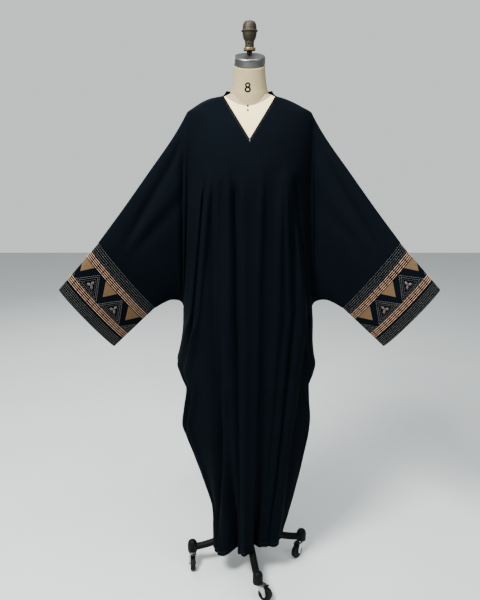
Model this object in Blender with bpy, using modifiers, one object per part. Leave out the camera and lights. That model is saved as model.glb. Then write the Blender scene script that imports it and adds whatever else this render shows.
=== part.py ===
"""Closed-front abaya cloak with wide sleeves cut in one with the body, on a neck-capped
dress form with a four-leg wheeled stand. Metres, +Z up, front towards -Y."""
import bpy
import bmesh
import math

NAME = "abaya_cloak_on_dress_form"

# Frame
AXIS_Y = 0.0
SEAM_GAP = 0.0003
PART_GAP = 0.0004

# Cloth
WALL = 0.0015
UNDERARM_Z = 0.955
HEM_Z = 0.088
NECK_HALF = 0.077
NECK_Z = 1.5985
V_TIP_Z = 1.476
SHOULDER_X = 0.185
SHOULDER_Z = 1.550
SHOULDER_ROUND = {-1: 0.010, 1: 0.005}
CUFF_GAP = 0.0012
SLEEVE_SWEEP = 0.55
SLEEVE_SWEEP_FROM = 0.183
SWEEP_SOFT = 0.016
SETBACK_FROM = 0.190
SETBACK_SOFT = 0.006
SLEEVE_HALF_THICK = 0.042
CUFF_HALF_THICK = 0.019
LENS_POWER = 0.6
BLEND_POWER = 5
CREASE_DEPTH = 0.006
CREASE_PLACE = 0.86
CREASE_SOFT = 0.05
FOLD_FREE_DEGREES = 12.0
FOLD_FALL = 1.4
BODY_COLUMNS = 14
NECK_COLUMNS = 6
SLEEVE_COLUMNS = 8
UPPER_ROWS = 12
ROW_CROWDING = 1.95
CUFF_ROUND = 20
CUFF_ROWS = 4
NECKBAND_TOP_Z = 1.6125
NECKBAND_FOOT = 0.0010
NECKBAND_STEPS = 16
NECKBAND_END = 0.02

# Dress form
TORSO_SIDES = 26
CAP_R = 0.0465
CAP_H = 0.025
CAP_TILT = math.radians(17.0)
CAP_CENTRE = (0.0, -0.003, 1.698)
STEM_R = 0.0080
STEM_CLEAR = 0.003
RING_R = 0.0180
RING_H = 0.0088
RING_Z = 1.7238
POLE_R = 0.0125

# Stand
BASE_TURN = math.radians(9.0)
POST_REACH = 0.199
POST_R = 0.017
POST_BOTTOM_Z = 0.0560
POST_TOP_Z = 0.1000
HUB_TOP_Z = 0.132
HUB_R = 0.030
LEG_R = 0.0125
SOCKET_R = 0.0056
SOCKET_DEPTH = 0.016
PIN_R = 0.0050
WHEEL_R = 0.024
WHEEL_W = 0.018
WHEEL_SIDES = 20
AXLE_R = 0.0030
BORE_R = 0.0036
TRAIL = 0.028
PLATE_H = 0.0028
CHEEK_T = 0.0022
CHEEK_GAP = 0.0018
CHEEK_HALF = 0.0065
CHEEK_END = 0.0045
CHEEK_TOP_X = (-0.004, 0.024)
PLATE_R = 0.0155
BRIDGE_SIZE = (0.034, 0.0262)
BRIDGE_X = 0.010
LEVER_SIZE = (0.014, 0.020, 0.0022)
LEVER_X = 0.0325
LEVER_RISE = 0.0035

# Half widths of the body at the side seams and how pointed the section is there:
# height, left half width, right half width, pointedness, front depth, back depth
SECTION_ROWS = (
    (0.100, 0.115, 0.119, 0.66, 0.128, 0.098),
    (0.160, 0.114, 0.128, 0.68, 0.129, 0.099),
    (0.220, 0.113, 0.142, 0.72, 0.130, 0.101),
    (0.320, 0.139, 0.167, 0.82, 0.132, 0.106),
    (0.455, 0.184, 0.197, 0.98, 0.135, 0.113),
    (0.513, 0.206, 0.207, 1.06, 0.136, 0.116),
    (0.556, 0.219, 0.210, 1.10, 0.137, 0.118),
    (0.631, 0.210, 0.204, 1.00, 0.138, 0.121),
    (0.685, 0.203, 0.202, 0.98, 0.139, 0.124),
    (0.716, 0.224, 0.216, 1.15, 0.140, 0.126),
    (0.746, 0.241, 0.224, 1.35, 0.140, 0.128),
    (0.785, 0.232, 0.217, 1.22, 0.140, 0.130),
    (0.835, 0.221, 0.211, 1.10, 0.140, 0.133),
    (0.900, 0.212, 0.208, 1.03, 0.140, 0.135),
    (0.955, 0.208, 0.203, 1.00, 0.140, 0.136),
    (1.100, 0.199, 0.196, 1.00, 0.139, 0.130),
    (1.250, 0.192, 0.190, 1.00, 0.138, 0.118),
    (1.360, 0.187, 0.187, 1.00, 0.136, 0.111),
    (1.400, 0.186, 0.187, 1.00, 0.130, 0.109),
    (1.476, 0.187, 0.189, 1.00, 0.110, 0.106),
    (1.520, 0.187, 0.189, 1.00, 0.092, 0.098),
    (1.550, 0.185, 0.185, 1.00, 0.077, 0.086),
    (1.566, 0.163, 0.1575, 1.00, 0.0695, 0.0775),
    (1.580, 0.140, 0.1295, 1.00, 0.0645, 0.0710),
    (1.590, 0.116, 0.104, 1.00, 0.0620, 0.0660),
    (1.5985, 0.077, 0.077, 1.00, 0.060, 0.062),
    (1.6125, 0.066, 0.066, 1.00, 0.057, 0.060),
)

# How steeply the cloth beside the side seams falls back below the sleeves: height, left, right
SETBACK_ROWS = (
    (0.655, 0.00, 0.00),
    (0.735, 1.25, 0.45),
    (0.860, 1.25, 0.45),
    (0.950, 0.00, 0.00),
)

# Height of each lower row of the panels
LOWER_ROWS = (
    0.0, 0.155, 0.215, 0.270, 0.320, 0.385, 0.455, 0.505, 0.556, 0.605, 0.652, 0.690, 0.716,
    0.746, 0.785, 0.830, 0.870, 0.912, 0.955,
)

# Folds by their angle round the section, 0 at the right side seam and 180 at the left:
# angle at hem, at underarm, at bust, out at hem, at hip, at underarm, at bust, half width
FRONT_FOLDS = (
    (118.0, 103.0, 104.0, -0.046, -0.022, -0.014, -0.009, 10.0),
    (75.0, 75.0, 70.0, -0.044, -0.021, -0.013, -0.006, 11.0),
    (146.0, 110.0, 112.0, 0.018, 0.013, 0.011, 0.004, 15.0),
    (168.0, 148.0, 126.0, 0.004, 0.008, 0.011, 0.011, 12.0),
    (40.0, 36.0, 53.0, 0.004, 0.010, 0.011, 0.009, 14.0),
    (58.0, 54.0, 38.0, -0.024, -0.010, -0.008, -0.004, 16.0),
    (134.0, 128.0, 142.0, -0.004, -0.010, -0.010, -0.004, 9.0),
    (20.0, 18.0, 24.0, -0.006, -0.008, -0.006, -0.003, 9.0),
)
BACK_FOLDS = (
    (96.0, 94.0, 92.0, 0.012, 0.011, 0.008, 0.002, 13.0),
    (70.0, 72.0, 74.0, -0.022, -0.014, -0.009, -0.003, 11.0),
    (122.0, 116.0, 112.0, -0.024, -0.015, -0.010, -0.003, 11.0),
    (48.0, 46.0, 52.0, 0.008, 0.010, 0.010, 0.003, 13.0),
    (146.0, 140.0, 132.0, 0.008, 0.010, 0.010, 0.003, 13.0),
    (27.0, 26.0, 34.0, -0.006, -0.009, -0.008, -0.002, 10.0),
    (160.0, 158.0, 150.0, -0.006, -0.009, -0.008, -0.002, 10.0),
)
FOLD_ANGLE_HEIGHTS = (0.10, 0.955, 1.36)
FOLD_OUT_HEIGHTS = (0.10, 0.55, 0.955, 1.36)
FOLD_END_Z = 1.415

# How far the hem edge stands above its lowest level: angle, front rise, back rise
HEM_RISE_ROWS = (
    (0.0, 0.034, 0.034),
    (30.0, 0.032, 0.030),
    (58.0, 0.028, 0.026),
    (77.0, 0.026, 0.026),
    (96.0, 0.020, 0.024),
    (106.0, 0.014, 0.024),
    (118.0, 0.018, 0.025),
    (138.0, 0.000, 0.024),
    (154.0, 0.006, 0.027),
    (180.0, 0.032, 0.032),
)

# Edges of a sleeve seen from the front, from the body outwards to the cuff seam:
# share of the way, x, z
OVERARM_ROWS = (
    (0.00, 0.185, 1.550),
    (0.10, 0.199, 1.524),
    (0.25, 0.227, 1.478),
    (0.50, 0.300, 1.375),
    (0.75, 0.372, 1.274),
    (1.00, 0.4405, 1.182),
)
UNDERARM_ROWS = (
    (0.00, 0.2055, 0.955),
    (0.15, 0.213, 0.970),
    (0.35, 0.228, 0.979),
    (0.55, 0.246, 0.982),
    (0.78, 0.270, 0.975),
    (1.00, 0.2945, 0.963),
)
CUFF_TOP = ((0.4405, 1.182), (0.550, 1.056))
CUFF_BOTTOM = ((0.2945, 0.963), (0.4145, 0.858))

# Body of the dress form: height, half width, front depth, back depth
TORSO_ROWS = (
    (0.862, 0.120, 0.072, 0.082),
    (0.868, 0.150, 0.090, 0.102),
    (0.885, 0.163, 0.098, 0.110),
    (0.930, 0.172, 0.106, 0.118),
    (0.990, 0.175, 0.110, 0.122),
    (1.050, 0.166, 0.106, 0.114),
    (1.120, 0.143, 0.096, 0.098),
    (1.180, 0.126, 0.088, 0.087),
    (1.220, 0.122, 0.088, 0.085),
    (1.270, 0.131, 0.100, 0.088),
    (1.320, 0.143, 0.120, 0.093),
    (1.360, 0.152, 0.130, 0.098),
    (1.400, 0.160, 0.124, 0.102),
    (1.440, 0.168, 0.114, 0.1025),
    (1.476, 0.177, 0.1060, 0.1020),
    (1.505, 0.1815, 0.0935, 0.0965),
    (1.530, 0.1822, 0.0825, 0.0890),
    (1.5445, 0.1812, 0.0755, 0.0835),
    (1.5495, 0.1790, 0.0730, 0.0810),
    (1.561, 0.1550, 0.0662, 0.0750),
    (1.574, 0.1272, 0.0595, 0.0680),
    (1.587, 0.0970, 0.0525, 0.0575),
    (1.596, 0.0765, 0.0490, 0.0515),
    (1.604, 0.0600, 0.0490, 0.0500),
)

# Neck of the dress form: share of its height, radius
NECK_ROWS = ((0.0, 0.0560), (0.15, 0.0530), (0.40, 0.0500), (0.75, 0.0470), (1.0, 0.0455))
NECK_LEAN = 0.003

# Turned outlines, radius and height from the outside top down
KNOB_PROFILE = (
    (0.0, 1.8056), (0.0100, 1.8050), (0.0158, 1.8022), (0.0192, 1.7960), (0.0206, 1.7880),
    (0.0208, 1.7815), (0.0230, 1.7806), (0.0246, 1.7788), (0.0246, 1.7768), (0.0230, 1.7752),
    (0.0211, 1.7745), (0.0204, 1.7660), (0.0180, 1.7570), (0.0142, 1.7512), (0.0132, 1.7480),
    (0.0132, 1.7345), (0.0122, 1.7330), (0.0, 1.7330),
)
HUB_PROFILE = (
    (0.0, HUB_TOP_Z), (0.016, HUB_TOP_Z), (0.020, 0.128), (0.021, 0.116), (0.0285, 0.110),
    (HUB_R, 0.104), (HUB_R, 0.088), (0.026, 0.082), (0.0, 0.082),
)
DOME_PROFILE = (
    (0.0, POST_TOP_Z), (0.0070, POST_TOP_Z - 0.0012), (0.0125, POST_TOP_Z - 0.0050),
    (POST_R, POST_TOP_Z - 0.0140), (POST_R, POST_BOTTOM_Z), (0.0, POST_BOTTOM_Z),
)
CAP_PROFILE = (
    (0.0, 0.5), (0.90, 0.5), (0.965, 0.44), (1.0, 0.30), (1.0, -0.40), (0.975, -0.5), (0.0, -0.5),
)

# Middle line of a leg: distance from the pole, height
LEG_ROWS = ((0.020, 0.0975), (0.060, 0.0985), (0.100, 0.0900), (0.140, 0.0780), (0.172, 0.0715), (0.199, 0.0700))

# Casters: number, leg angle, heading of the trailing wheel
CASTER_ROWS = (
    (1, math.pi + BASE_TURN, math.radians(-84.0)),
    (2, BASE_TURN, math.radians(-129.0)),
    (3, -math.pi / 2 + BASE_TURN, math.radians(-28.0)),
    (4, math.pi / 2 + BASE_TURN, math.radians(152.0)),
)

MATERIALS = {
    "black crepe": ((0.011, 0.012, 0.016), 0.88, 0.0),
    "embroidered crepe": ((0.060, 0.040, 0.022), 0.80, 0.0),
    "form linen": ((0.62, 0.57, 0.46), 0.90, 0.0),
    "cap steel": ((0.42, 0.43, 0.43), 0.42, 1.0),
    "finial bronze": ((0.13, 0.11, 0.08), 0.48, 1.0),
    "ring brass": ((0.46, 0.33, 0.16), 0.35, 1.0),
    "black enamel": ((0.015, 0.016, 0.018), 0.38, 0.0),
    "bright plate": ((0.70, 0.70, 0.68), 0.28, 1.0),
    "caster rubber": ((0.022, 0.022, 0.024), 0.65, 0.0),
}


def clear_scene():
    for found in list(bpy.data.objects):
        bpy.data.objects.remove(found, do_unlink=True)


def collection(name, hidden=False):
    made = bpy.data.collections.new(name)
    bpy.context.scene.collection.children.link(made)
    made.hide_render = hidden
    return made


def material(name):
    found = bpy.data.materials.get(name)
    if found:
        return found
    colour, rough, metal = MATERIALS[name]
    made = bpy.data.materials.new(name)
    made.use_nodes = True
    shader = made.node_tree.nodes["Principled BSDF"]
    shader.inputs["Base Color"].default_value = (*colour, 1.0)
    shader.inputs["Roughness"].default_value = rough
    shader.inputs["Metallic"].default_value = metal
    return made


def table(rows, at, column):
    """Smooth value of one column of a table, with no overshoot between its rows."""
    if at <= rows[0][0]:
        return rows[0][column]
    if at >= rows[-1][0]:
        return rows[-1][column]
    k = 0
    while rows[k + 1][0] < at:
        k += 1

    def slope(a, b):
        return (rows[b][column] - rows[a][column]) / (rows[b][0] - rows[a][0])

    def tangent(i):
        if i == 0:
            return slope(0, 1)
        if i == len(rows) - 1:
            return slope(i - 1, i)
        before = slope(i - 1, i)
        after = slope(i, i + 1)
        if before * after <= 0:
            return 0.0
        return 2 * before * after / (before + after)

    span = rows[k + 1][0] - rows[k][0]
    t = (at - rows[k][0]) / span
    h1 = (1 + 2 * t) * (1 - t) ** 2
    h2 = t * (1 - t) ** 2
    h3 = t * t * (3 - 2 * t)
    h4 = t * t * (t - 1)
    return (h1 * rows[k][column] + h2 * span * tangent(k)
            + h3 * rows[k + 1][column] + h4 * span * tangent(k + 1))


def ease(value, start, end):
    t = min(1.0, max(0.0, (value - start) / (end - start)))
    return t * t * (3 - 2 * t)


def half_width(side, z):
    return table(SECTION_ROWS, z, 2 if side > 0 else 1)


def fold_out(face, degrees, z):
    """Distance a fold stands out from the plain section at an angle and height."""
    if z >= FOLD_END_Z:
        return 0.0
    fade = 1 - ease(z, FOLD_ANGLE_HEIGHTS[2], FOLD_END_Z)
    sides = ease(degrees, 0.0, FOLD_FREE_DEGREES) * ease(180.0 - degrees, 0.0, FOLD_FREE_DEGREES)
    total = 0.0
    for row in (FRONT_FOLDS if face < 0 else BACK_FOLDS):
        places = [(FOLD_ANGLE_HEIGHTS[k], row[k]) for k in range(3)]
        heights = [(FOLD_OUT_HEIGHTS[k], row[3 + k]) for k in range(4)]
        apart = (degrees - table(places, z, 1)) / row[7]
        total += table(heights, z, 1) * math.exp(-apart * apart * FOLD_FALL)
    return total * fade * sides


def beyond(x, limit, soft):
    """How far a place lies outside a distance from the middle, with a soft start."""
    return soft * math.log1p(math.exp(min((abs(x) - limit) / soft, 60.0)))


def sweep(x):
    """How far back the seam line lies at a distance from the middle: sleeves come forward."""
    return -SLEEVE_SWEEP * beyond(x, SLEEVE_SWEEP_FROM, SWEEP_SOFT)


def setback(side, x, z):
    """How far the cloth beside a side seam falls back behind the front fold."""
    return table(SETBACK_ROWS, z, 2 if side > 0 else 1) * beyond(x, SETBACK_FROM, SETBACK_SOFT)


def body_depth(side, face, x, z):
    """Distance of the body cloth from the seam plane above the underarm."""
    wide = half_width(side, z)
    deep = table(SECTION_ROWS, z, 4 if face < 0 else 5)
    share = min(1.0, abs(x) / wide)
    degrees = math.degrees(math.acos(share)) if side > 0 else 180 - math.degrees(math.acos(share))
    round_part = math.sqrt(max(0.0, 1 - share * share))
    return deep * round_part + fold_out(face, degrees, z) * round_part ** 0.5


def lower_point(side, face, degrees, z):
    """Point of the body below the underarm at an angle from the right side seam."""
    a = math.radians(degrees)
    wide = half_width(side, z)
    deep = table(SECTION_ROWS, z, 4 if face < 0 else 5)
    sharp = table(SECTION_ROWS, z, 3)
    out = fold_out(face, degrees, z)
    across = 1 - ease(z, 0.86, UNDERARM_Z)
    s = max(0.0, math.sin(a))
    x = wide * math.cos(a) + out * math.cos(a) * across
    away = deep * s ** sharp + out * s ** 0.5
    back = sweep(x) * ease(z, 0.80, UNDERARM_Z) + setback(side, x, z)
    return x, back + face * (away + SEAM_GAP / 2), z


def sleeve_depth(share, up):
    """Half thickness of the flattened sleeve along its length and across it."""
    thick = SLEEVE_HALF_THICK + (CUFF_HALF_THICK - SLEEVE_HALF_THICK) * share
    lens = max(0.0, 4 * up * (1 - up)) ** LENS_POWER
    span = ease(share, 0.0, 0.2) * (1 - ease(share, 0.6, 0.95))
    crease = CREASE_DEPTH * math.exp(-((up - CREASE_PLACE) / CREASE_SOFT) ** 2) * span
    return max(0.0, (thick - crease) * lens)


def upper_point(side, face, column, v):
    """Point of a panel between the underarm row (v = 0) and the neck, shoulder or overarm (v = 1)."""
    if column <= BODY_COLUMNS:
        degrees = 90.0 - 90.0 * column / BODY_COLUMNS
        low_x = half_width(side, UNDERARM_Z) * math.cos(math.radians(degrees))
        low_z = UNDERARM_Z
        if column <= NECK_COLUMNS:
            up_edge = math.sin(math.pi / 2 * column / NECK_COLUMNS)
            top_x = NECK_HALF * up_edge
            top_z = V_TIP_Z + (NECK_Z - V_TIP_Z) * up_edge if face < 0 else NECK_Z
        else:
            along = (column - NECK_COLUMNS) / (BODY_COLUMNS - NECK_COLUMNS)
            top_x = NECK_HALF + (SHOULDER_X - NECK_HALF) * along
            top_z = NECK_Z + (SHOULDER_Z - NECK_Z) * along + SHOULDER_ROUND[side] * math.sin(math.pi * along)
        share = 0.0
        lens_on = ease(column / BODY_COLUMNS, 0.72, 1.0)
    else:
        share = (column - BODY_COLUMNS) / SLEEVE_COLUMNS
        low_x = table(UNDERARM_ROWS, share, 1)
        low_z = table(UNDERARM_ROWS, share, 2)
        if share < 0.3:
            low_x += (half_width(side, UNDERARM_Z) - UNDERARM_ROWS[0][1]) * (1 - share / 0.3)
        top_x = table(OVERARM_ROWS, share, 1)
        top_z = table(OVERARM_ROWS, share, 2)
        lens_on = 1.0
    if column == BODY_COLUMNS + SLEEVE_COLUMNS:
        shift = CUFF_GAP / 2
        low_x -= shift * 0.7
        low_z += shift * 0.7
        top_x -= shift * 0.7
        top_z += shift * 0.7
    x = low_x + (top_x - low_x) * v
    z = low_z + (top_z - low_z) * v
    neck_edge = column < NECK_COLUMNS or (column == NECK_COLUMNS and face > 0)
    if column <= BODY_COLUMNS and v == 0:
        return lower_point(side, face, degrees if side > 0 else 180 - degrees, UNDERARM_Z)
    body = 0.0
    if z < NECK_Z + 1e-6 and column <= BODY_COLUMNS + SLEEVE_COLUMNS - 3:
        body = body_depth(side, face, x, z)
    lens = sleeve_depth(share, v) * lens_on
    if v == 1 and not neck_edge:
        body = 0.0
        lens = 0.0
    away = (body ** BLEND_POWER + lens ** BLEND_POWER) ** (1 / BLEND_POWER)
    return side * x, sweep(x) + face * (away + SEAM_GAP / 2), z


def row_share(step):
    """Spacing of the upper rows: close together towards the shoulder and overarm."""
    t = step / UPPER_ROWS
    return 1 - (1 - t) ** ROW_CROWDING if t < 1 else 1.0


def half_panel(side, face, centre_gap):
    """Vertices and quads of one half panel, its columns running out from the middle."""
    points = []
    faces = []
    rows = []
    for height in LOWER_ROWS:
        row = []
        for column in range(BODY_COLUMNS + 1):
            degrees = 90.0 - 90.0 * column / BODY_COLUMNS
            if side < 0:
                degrees = 180 - degrees
            rise = table(HEM_RISE_ROWS, degrees, 1 if face < 0 else 2)
            low = HEM_Z + rise
            z = low if height == 0 else height
            row.append(len(points))
            points.append(lower_point(side, face, degrees, z))
        rows.append(row)
    for step in range(UPPER_ROWS + 1):
        v = row_share(step)
        row = list(rows[-1]) if step == 0 else []
        start = BODY_COLUMNS + 1 if step == 0 else 0
        for column in range(start, BODY_COLUMNS + SLEEVE_COLUMNS + 1):
            row.append(len(points))
            points.append(upper_point(side, face, column, v))
        if step == 0:
            first_upper = row
            lower_rows = len(rows)
        else:
            rows.append(row)
    rows[lower_rows - 1] = rows[lower_rows - 1][:BODY_COLUMNS + 1]
    grids = [rows[:lower_rows], [first_upper] + rows[lower_rows:]]
    for grid in grids:
        for below, above in zip(grid, grid[1:]):
            for k in range(len(below) - 1):
                quad = (below[k], below[k + 1], above[k + 1], above[k])
                if side * face > 0:
                    quad = quad[::-1]
                faces.append(quad)
    moved = []
    for x, y, z in points:
        if abs(x) < 1e-5 and centre_gap:
            x = side * centre_gap / 2
        moved.append((x, y + AXIS_Y, z))
    return moved, faces


def mesh_object(name, points, faces, slot, into):
    data = bpy.data.meshes.new(name)
    data.from_pydata(points, [], faces)
    data.update()
    made = bpy.data.objects.new(name, data)
    made.data.materials.append(material(slot))
    into.objects.link(made)
    return made


def thicken(made, thick):
    wall = made.modifiers.new("wall", "SOLIDIFY")
    wall.thickness = thick
    wall.offset = 1.0
    wall.use_even_offset = False
    wall.use_rim = True
    return made


def smooth(made):
    for polygon in made.data.polygons:
        polygon.use_smooth = True


def weld(made, distance=0.00005):
    shape = bmesh.new()
    shape.from_mesh(made.data)
    bmesh.ops.remove_doubles(shape, verts=shape.verts, dist=distance)
    shape.to_mesh(made.data)
    shape.free()


def front_panel(name, side, into):
    points, faces = half_panel(side, -1, SEAM_GAP + 0.0001)
    made = mesh_object(name, points, faces, "black crepe", into)
    smooth(made)
    return thicken(made, WALL)


def back_panel(name, into):
    right_points, right_faces = half_panel(1, 1, 0.0)
    left_points, left_faces = half_panel(-1, 1, 0.0)
    base = len(right_points)
    faces = right_faces + [tuple(base + k for k in face) for face in left_faces]
    made = mesh_object(name, right_points + left_points, faces, "black crepe", into)
    weld(made)
    smooth(made)
    return thicken(made, WALL)


def neckband(name, into):
    """Stand-up band round the back of the neck, from neck point to neck point."""
    points = []
    steps = NECKBAND_STEPS
    levels = (NECK_Z + NECKBAND_FOOT, (NECK_Z + NECKBAND_TOP_Z) / 2, NECKBAND_TOP_Z)
    for z in levels:
        for step in range(steps + 1):
            a = math.pi * (NECKBAND_END + (1 - 2 * NECKBAND_END) * step / steps)
            wide = table(SECTION_ROWS, z, 1)
            deep = table(SECTION_ROWS, z, 5)
            points.append((wide * math.cos(a), deep * math.sin(a) + SEAM_GAP + AXIS_Y, z))
    faces = []
    for level in range(len(levels) - 1):
        for step in range(steps):
            k = level * (steps + 1) + step
            faces.append((k, k + 1, k + steps + 2, k + steps + 1))
    made = mesh_object(name, points, faces, "black crepe", into)
    smooth(made)
    return thicken(made, WALL)


def cuff(name, side, into):
    """Embroidered band sewn round the end of a sleeve, a flattened tube."""
    points = []
    for level in range(CUFF_ROWS + 1):
        along = level / CUFF_ROWS
        start = CUFF_GAP / 2 if level == 0 else 0.0
        top = [CUFF_TOP[0][k] + (CUFF_TOP[1][k] - CUFF_TOP[0][k]) * along for k in range(2)]
        low = [CUFF_BOTTOM[0][k] + (CUFF_BOTTOM[1][k] - CUFF_BOTTOM[0][k]) * along for k in range(2)]
        for step in range(CUFF_ROUND):
            a = 2 * math.pi * step / CUFF_ROUND
            up = 0.5 + 0.5 * math.cos(a)
            face = 1 if 0 < step < CUFF_ROUND / 2 else -1
            lens = CUFF_HALF_THICK * max(0.0, 4 * up * (1 - up)) ** LENS_POWER
            x = low[0] + (top[0] - low[0]) * up + start * 0.7
            z = low[1] + (top[1] - low[1]) * up - start * 0.7
            points.append((side * x, sweep(x) + face * lens + AXIS_Y, z))
    faces = []
    for level in range(CUFF_ROWS):
        for step in range(CUFF_ROUND):
            k = level * CUFF_ROUND + step
            n = level * CUFF_ROUND + (step + 1) % CUFF_ROUND
            quad = (k, n, n + CUFF_ROUND, k + CUFF_ROUND)
            if side < 0:
                quad = quad[::-1]
            faces.append(quad)
    made = mesh_object(name, points, faces, "embroidered crepe", into)
    smooth(made)
    return thicken(made, WALL)


def loft(name, rings, slot, into):
    """Closed solid through rings of equal count, bottom ring first, with flat end faces."""
    count = len(rings[0])
    points = [point for ring in rings for point in ring]
    faces = []
    for level in range(len(rings) - 1):
        for step in range(count):
            k = level * count + step
            n = level * count + (step + 1) % count
            faces.append((k, n, n + count, k + count))
    faces.append(tuple(reversed(range(count))))
    last = (len(rings) - 1) * count
    faces.append(tuple(range(last, last + count)))
    made = mesh_object(name, points, faces, slot, into)
    smooth(made)
    made.data.polygons[-1].use_smooth = False
    made.data.polygons[-2].use_smooth = False
    return made


def section_ring(wide, front, back, z, count, middle_y=0.0):
    ring = []
    for step in range(count):
        a = 2 * math.pi * step / count
        deep = back if math.sin(a) > 0 else front
        ring.append((wide * math.cos(a), deep * math.sin(a) + middle_y + AXIS_Y, z))
    return ring


def torso(name, into):
    rings = [section_ring(wide, front, back, z, TORSO_SIDES) for z, wide, front, back in TORSO_ROWS]
    return loft(name, rings, "form linen", into)


def form_neck(name, into):
    """Neck of the form, its top cut on the slant of the cap."""
    bottom = TORSO_ROWS[-1][0] + PART_GAP
    rings = []
    for share, radius in NECK_ROWS:
        ring = []
        for step in range(TORSO_SIDES):
            a = 2 * math.pi * step / TORSO_SIDES
            y = radius * math.sin(a) - NECK_LEAN * share
            seat = CAP_CENTRE[2] - (CAP_H / 2 + PART_GAP) / math.cos(CAP_TILT)
            top = seat + (y - CAP_CENTRE[1]) * math.tan(CAP_TILT)
            ring.append((radius * math.cos(a), y + AXIS_Y, bottom + (top - bottom) * share))
        rings.append(ring)
    return loft(name, rings, "form linen", into)


def turned(name, profile, slot, into, steps=24, centre=(0.0, 0.0), tilt=0.0, lift=0.0):
    """Solid turned about a vertical line from a profile of radius and height."""
    shape = bmesh.new()
    line = [shape.verts.new((radius, 0.0, z)) for radius, z in profile]
    for a, b in zip(line, line[1:]):
        shape.edges.new((a, b))
    data = bpy.data.meshes.new(name)
    shape.to_mesh(data)
    shape.free()
    made = bpy.data.objects.new(name, data)
    into.objects.link(made)
    screw = made.modifiers.new("turn", "SCREW")
    screw.axis = "Z"
    screw.angle = 2 * math.pi
    screw.steps = steps
    screw.render_steps = steps
    screw.use_merge_vertices = True
    screw.merge_threshold = 0.00005
    screw.use_smooth_shade = True
    bake(made)
    for vertex in made.data.vertices:
        x, y, z = vertex.co
        if tilt:
            y, z = y * math.cos(tilt) - z * math.sin(tilt), y * math.sin(tilt) + z * math.cos(tilt)
        vertex.co = (x + centre[0], y + centre[1], z + lift)
    made.data.materials.clear()
    made.data.materials.append(material(slot))
    return made


def bake(made):
    """Keeps the shape that the object's modifiers give."""
    graph = bpy.context.evaluated_depsgraph_get()
    graph.update()
    data = bpy.data.meshes.new_from_object(made.evaluated_get(graph))
    made.modifiers.clear()
    old = made.data
    made.data = data
    if isinstance(old, bpy.types.Mesh):
        bpy.data.meshes.remove(old)
    outward(made)


def outward(made):
    shape = bmesh.new()
    shape.from_mesh(made.data)
    bmesh.ops.recalc_face_normals(shape, faces=shape.faces)
    shape.to_mesh(made.data)
    shape.free()


def cut(made, tool, kind="DIFFERENCE"):
    step = made.modifiers.new(kind.lower(), "BOOLEAN")
    step.operation = kind
    step.solver = "EXACT"
    step.object = tool
    bake(made)


def leg_tube(name, angle, into):
    """One arched leg as a bevelled curve, made into a mesh."""
    path = bpy.data.curves.new(name, "CURVE")
    path.dimensions = "3D"
    path.bevel_depth = LEG_R
    path.bevel_resolution = 1
    path.resolution_u = 2
    path.render_resolution_u = 2
    path.use_fill_caps = True
    line = path.splines.new("NURBS")
    line.points.add(len(LEG_ROWS) - 1)
    for point, (reach, z) in zip(line.points, LEG_ROWS):
        point.co = (reach * math.cos(angle), reach * math.sin(angle) + AXIS_Y, z, 1.0)
    line.use_endpoint_u = True
    line.order_u = 3
    holder = bpy.data.objects.new(name + "_path", path)
    into.objects.link(holder)
    graph = bpy.context.evaluated_depsgraph_get()
    graph.update()
    data = bpy.data.meshes.new_from_object(holder.evaluated_get(graph))
    bpy.data.objects.remove(holder, do_unlink=True)
    made = bpy.data.objects.new(name, data)
    into.objects.link(made)
    weld(made)
    outward(made)
    return made


def post_place(angle):
    return POST_REACH * math.cos(angle), POST_REACH * math.sin(angle) + AXIS_Y


def base_frame(name, into, tools):
    """Hub, four arched legs and four caster posts, welded into one piece."""
    made = turned(name, HUB_PROFILE, "black enamel", into, 20, (0.0, AXIS_Y))
    for number, angle, _ in CASTER_ROWS:
        leg = leg_tube("leg_%d" % number, angle, tools)
        cut(made, leg, "UNION")
        post = turned("post_%d" % number, DOME_PROFILE, "black enamel", tools, 16, post_place(angle))
        cut(made, post, "UNION")
        socket = ((0.0, POST_BOTTOM_Z + SOCKET_DEPTH), (SOCKET_R, POST_BOTTOM_Z + SOCKET_DEPTH),
                  (SOCKET_R, POST_BOTTOM_Z - 0.01), (0.0, POST_BOTTOM_Z - 0.01))
        bore = turned("socket_%d" % number, socket, "black enamel", tools, 12, post_place(angle))
        cut(made, bore)
    made.data.materials.clear()
    made.data.materials.append(material("black enamel"))
    return made


def block(name, size, middle, tools):
    shape = bmesh.new()
    bmesh.ops.create_cube(shape, size=1.0)
    for vertex in shape.verts:
        vertex.co = [vertex.co[k] * size[k] + middle[k] for k in range(3)]
    data = bpy.data.meshes.new(name)
    shape.to_mesh(data)
    shape.free()
    made = bpy.data.objects.new(name, data)
    tools.objects.link(made)
    return made


def crosswise(name, radius, length, middle, tools, sides=16):
    """Cylinder lying along Y."""
    shape = bmesh.new()
    bmesh.ops.create_cone(shape, cap_ends=True, segments=sides, radius1=radius, radius2=radius, depth=length)
    for vertex in shape.verts:
        x, y, z = vertex.co
        vertex.co = (x + middle[0], -z + middle[1], y + middle[2])
    data = bpy.data.meshes.new(name)
    shape.to_mesh(data)
    shape.free()
    made = bpy.data.objects.new(name, data)
    tools.objects.link(made)
    return made


def place(made, heading, spot):
    """Turns a caster piece to its heading; its origin goes on the swivel axis."""
    c = math.cos(heading)
    s = math.sin(heading)
    for vertex in made.data.vertices:
        x, y, z = vertex.co
        vertex.co = (x * c - y * s, x * s + y * c, z)
    made.location = (spot[0], spot[1], 0.0)


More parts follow.
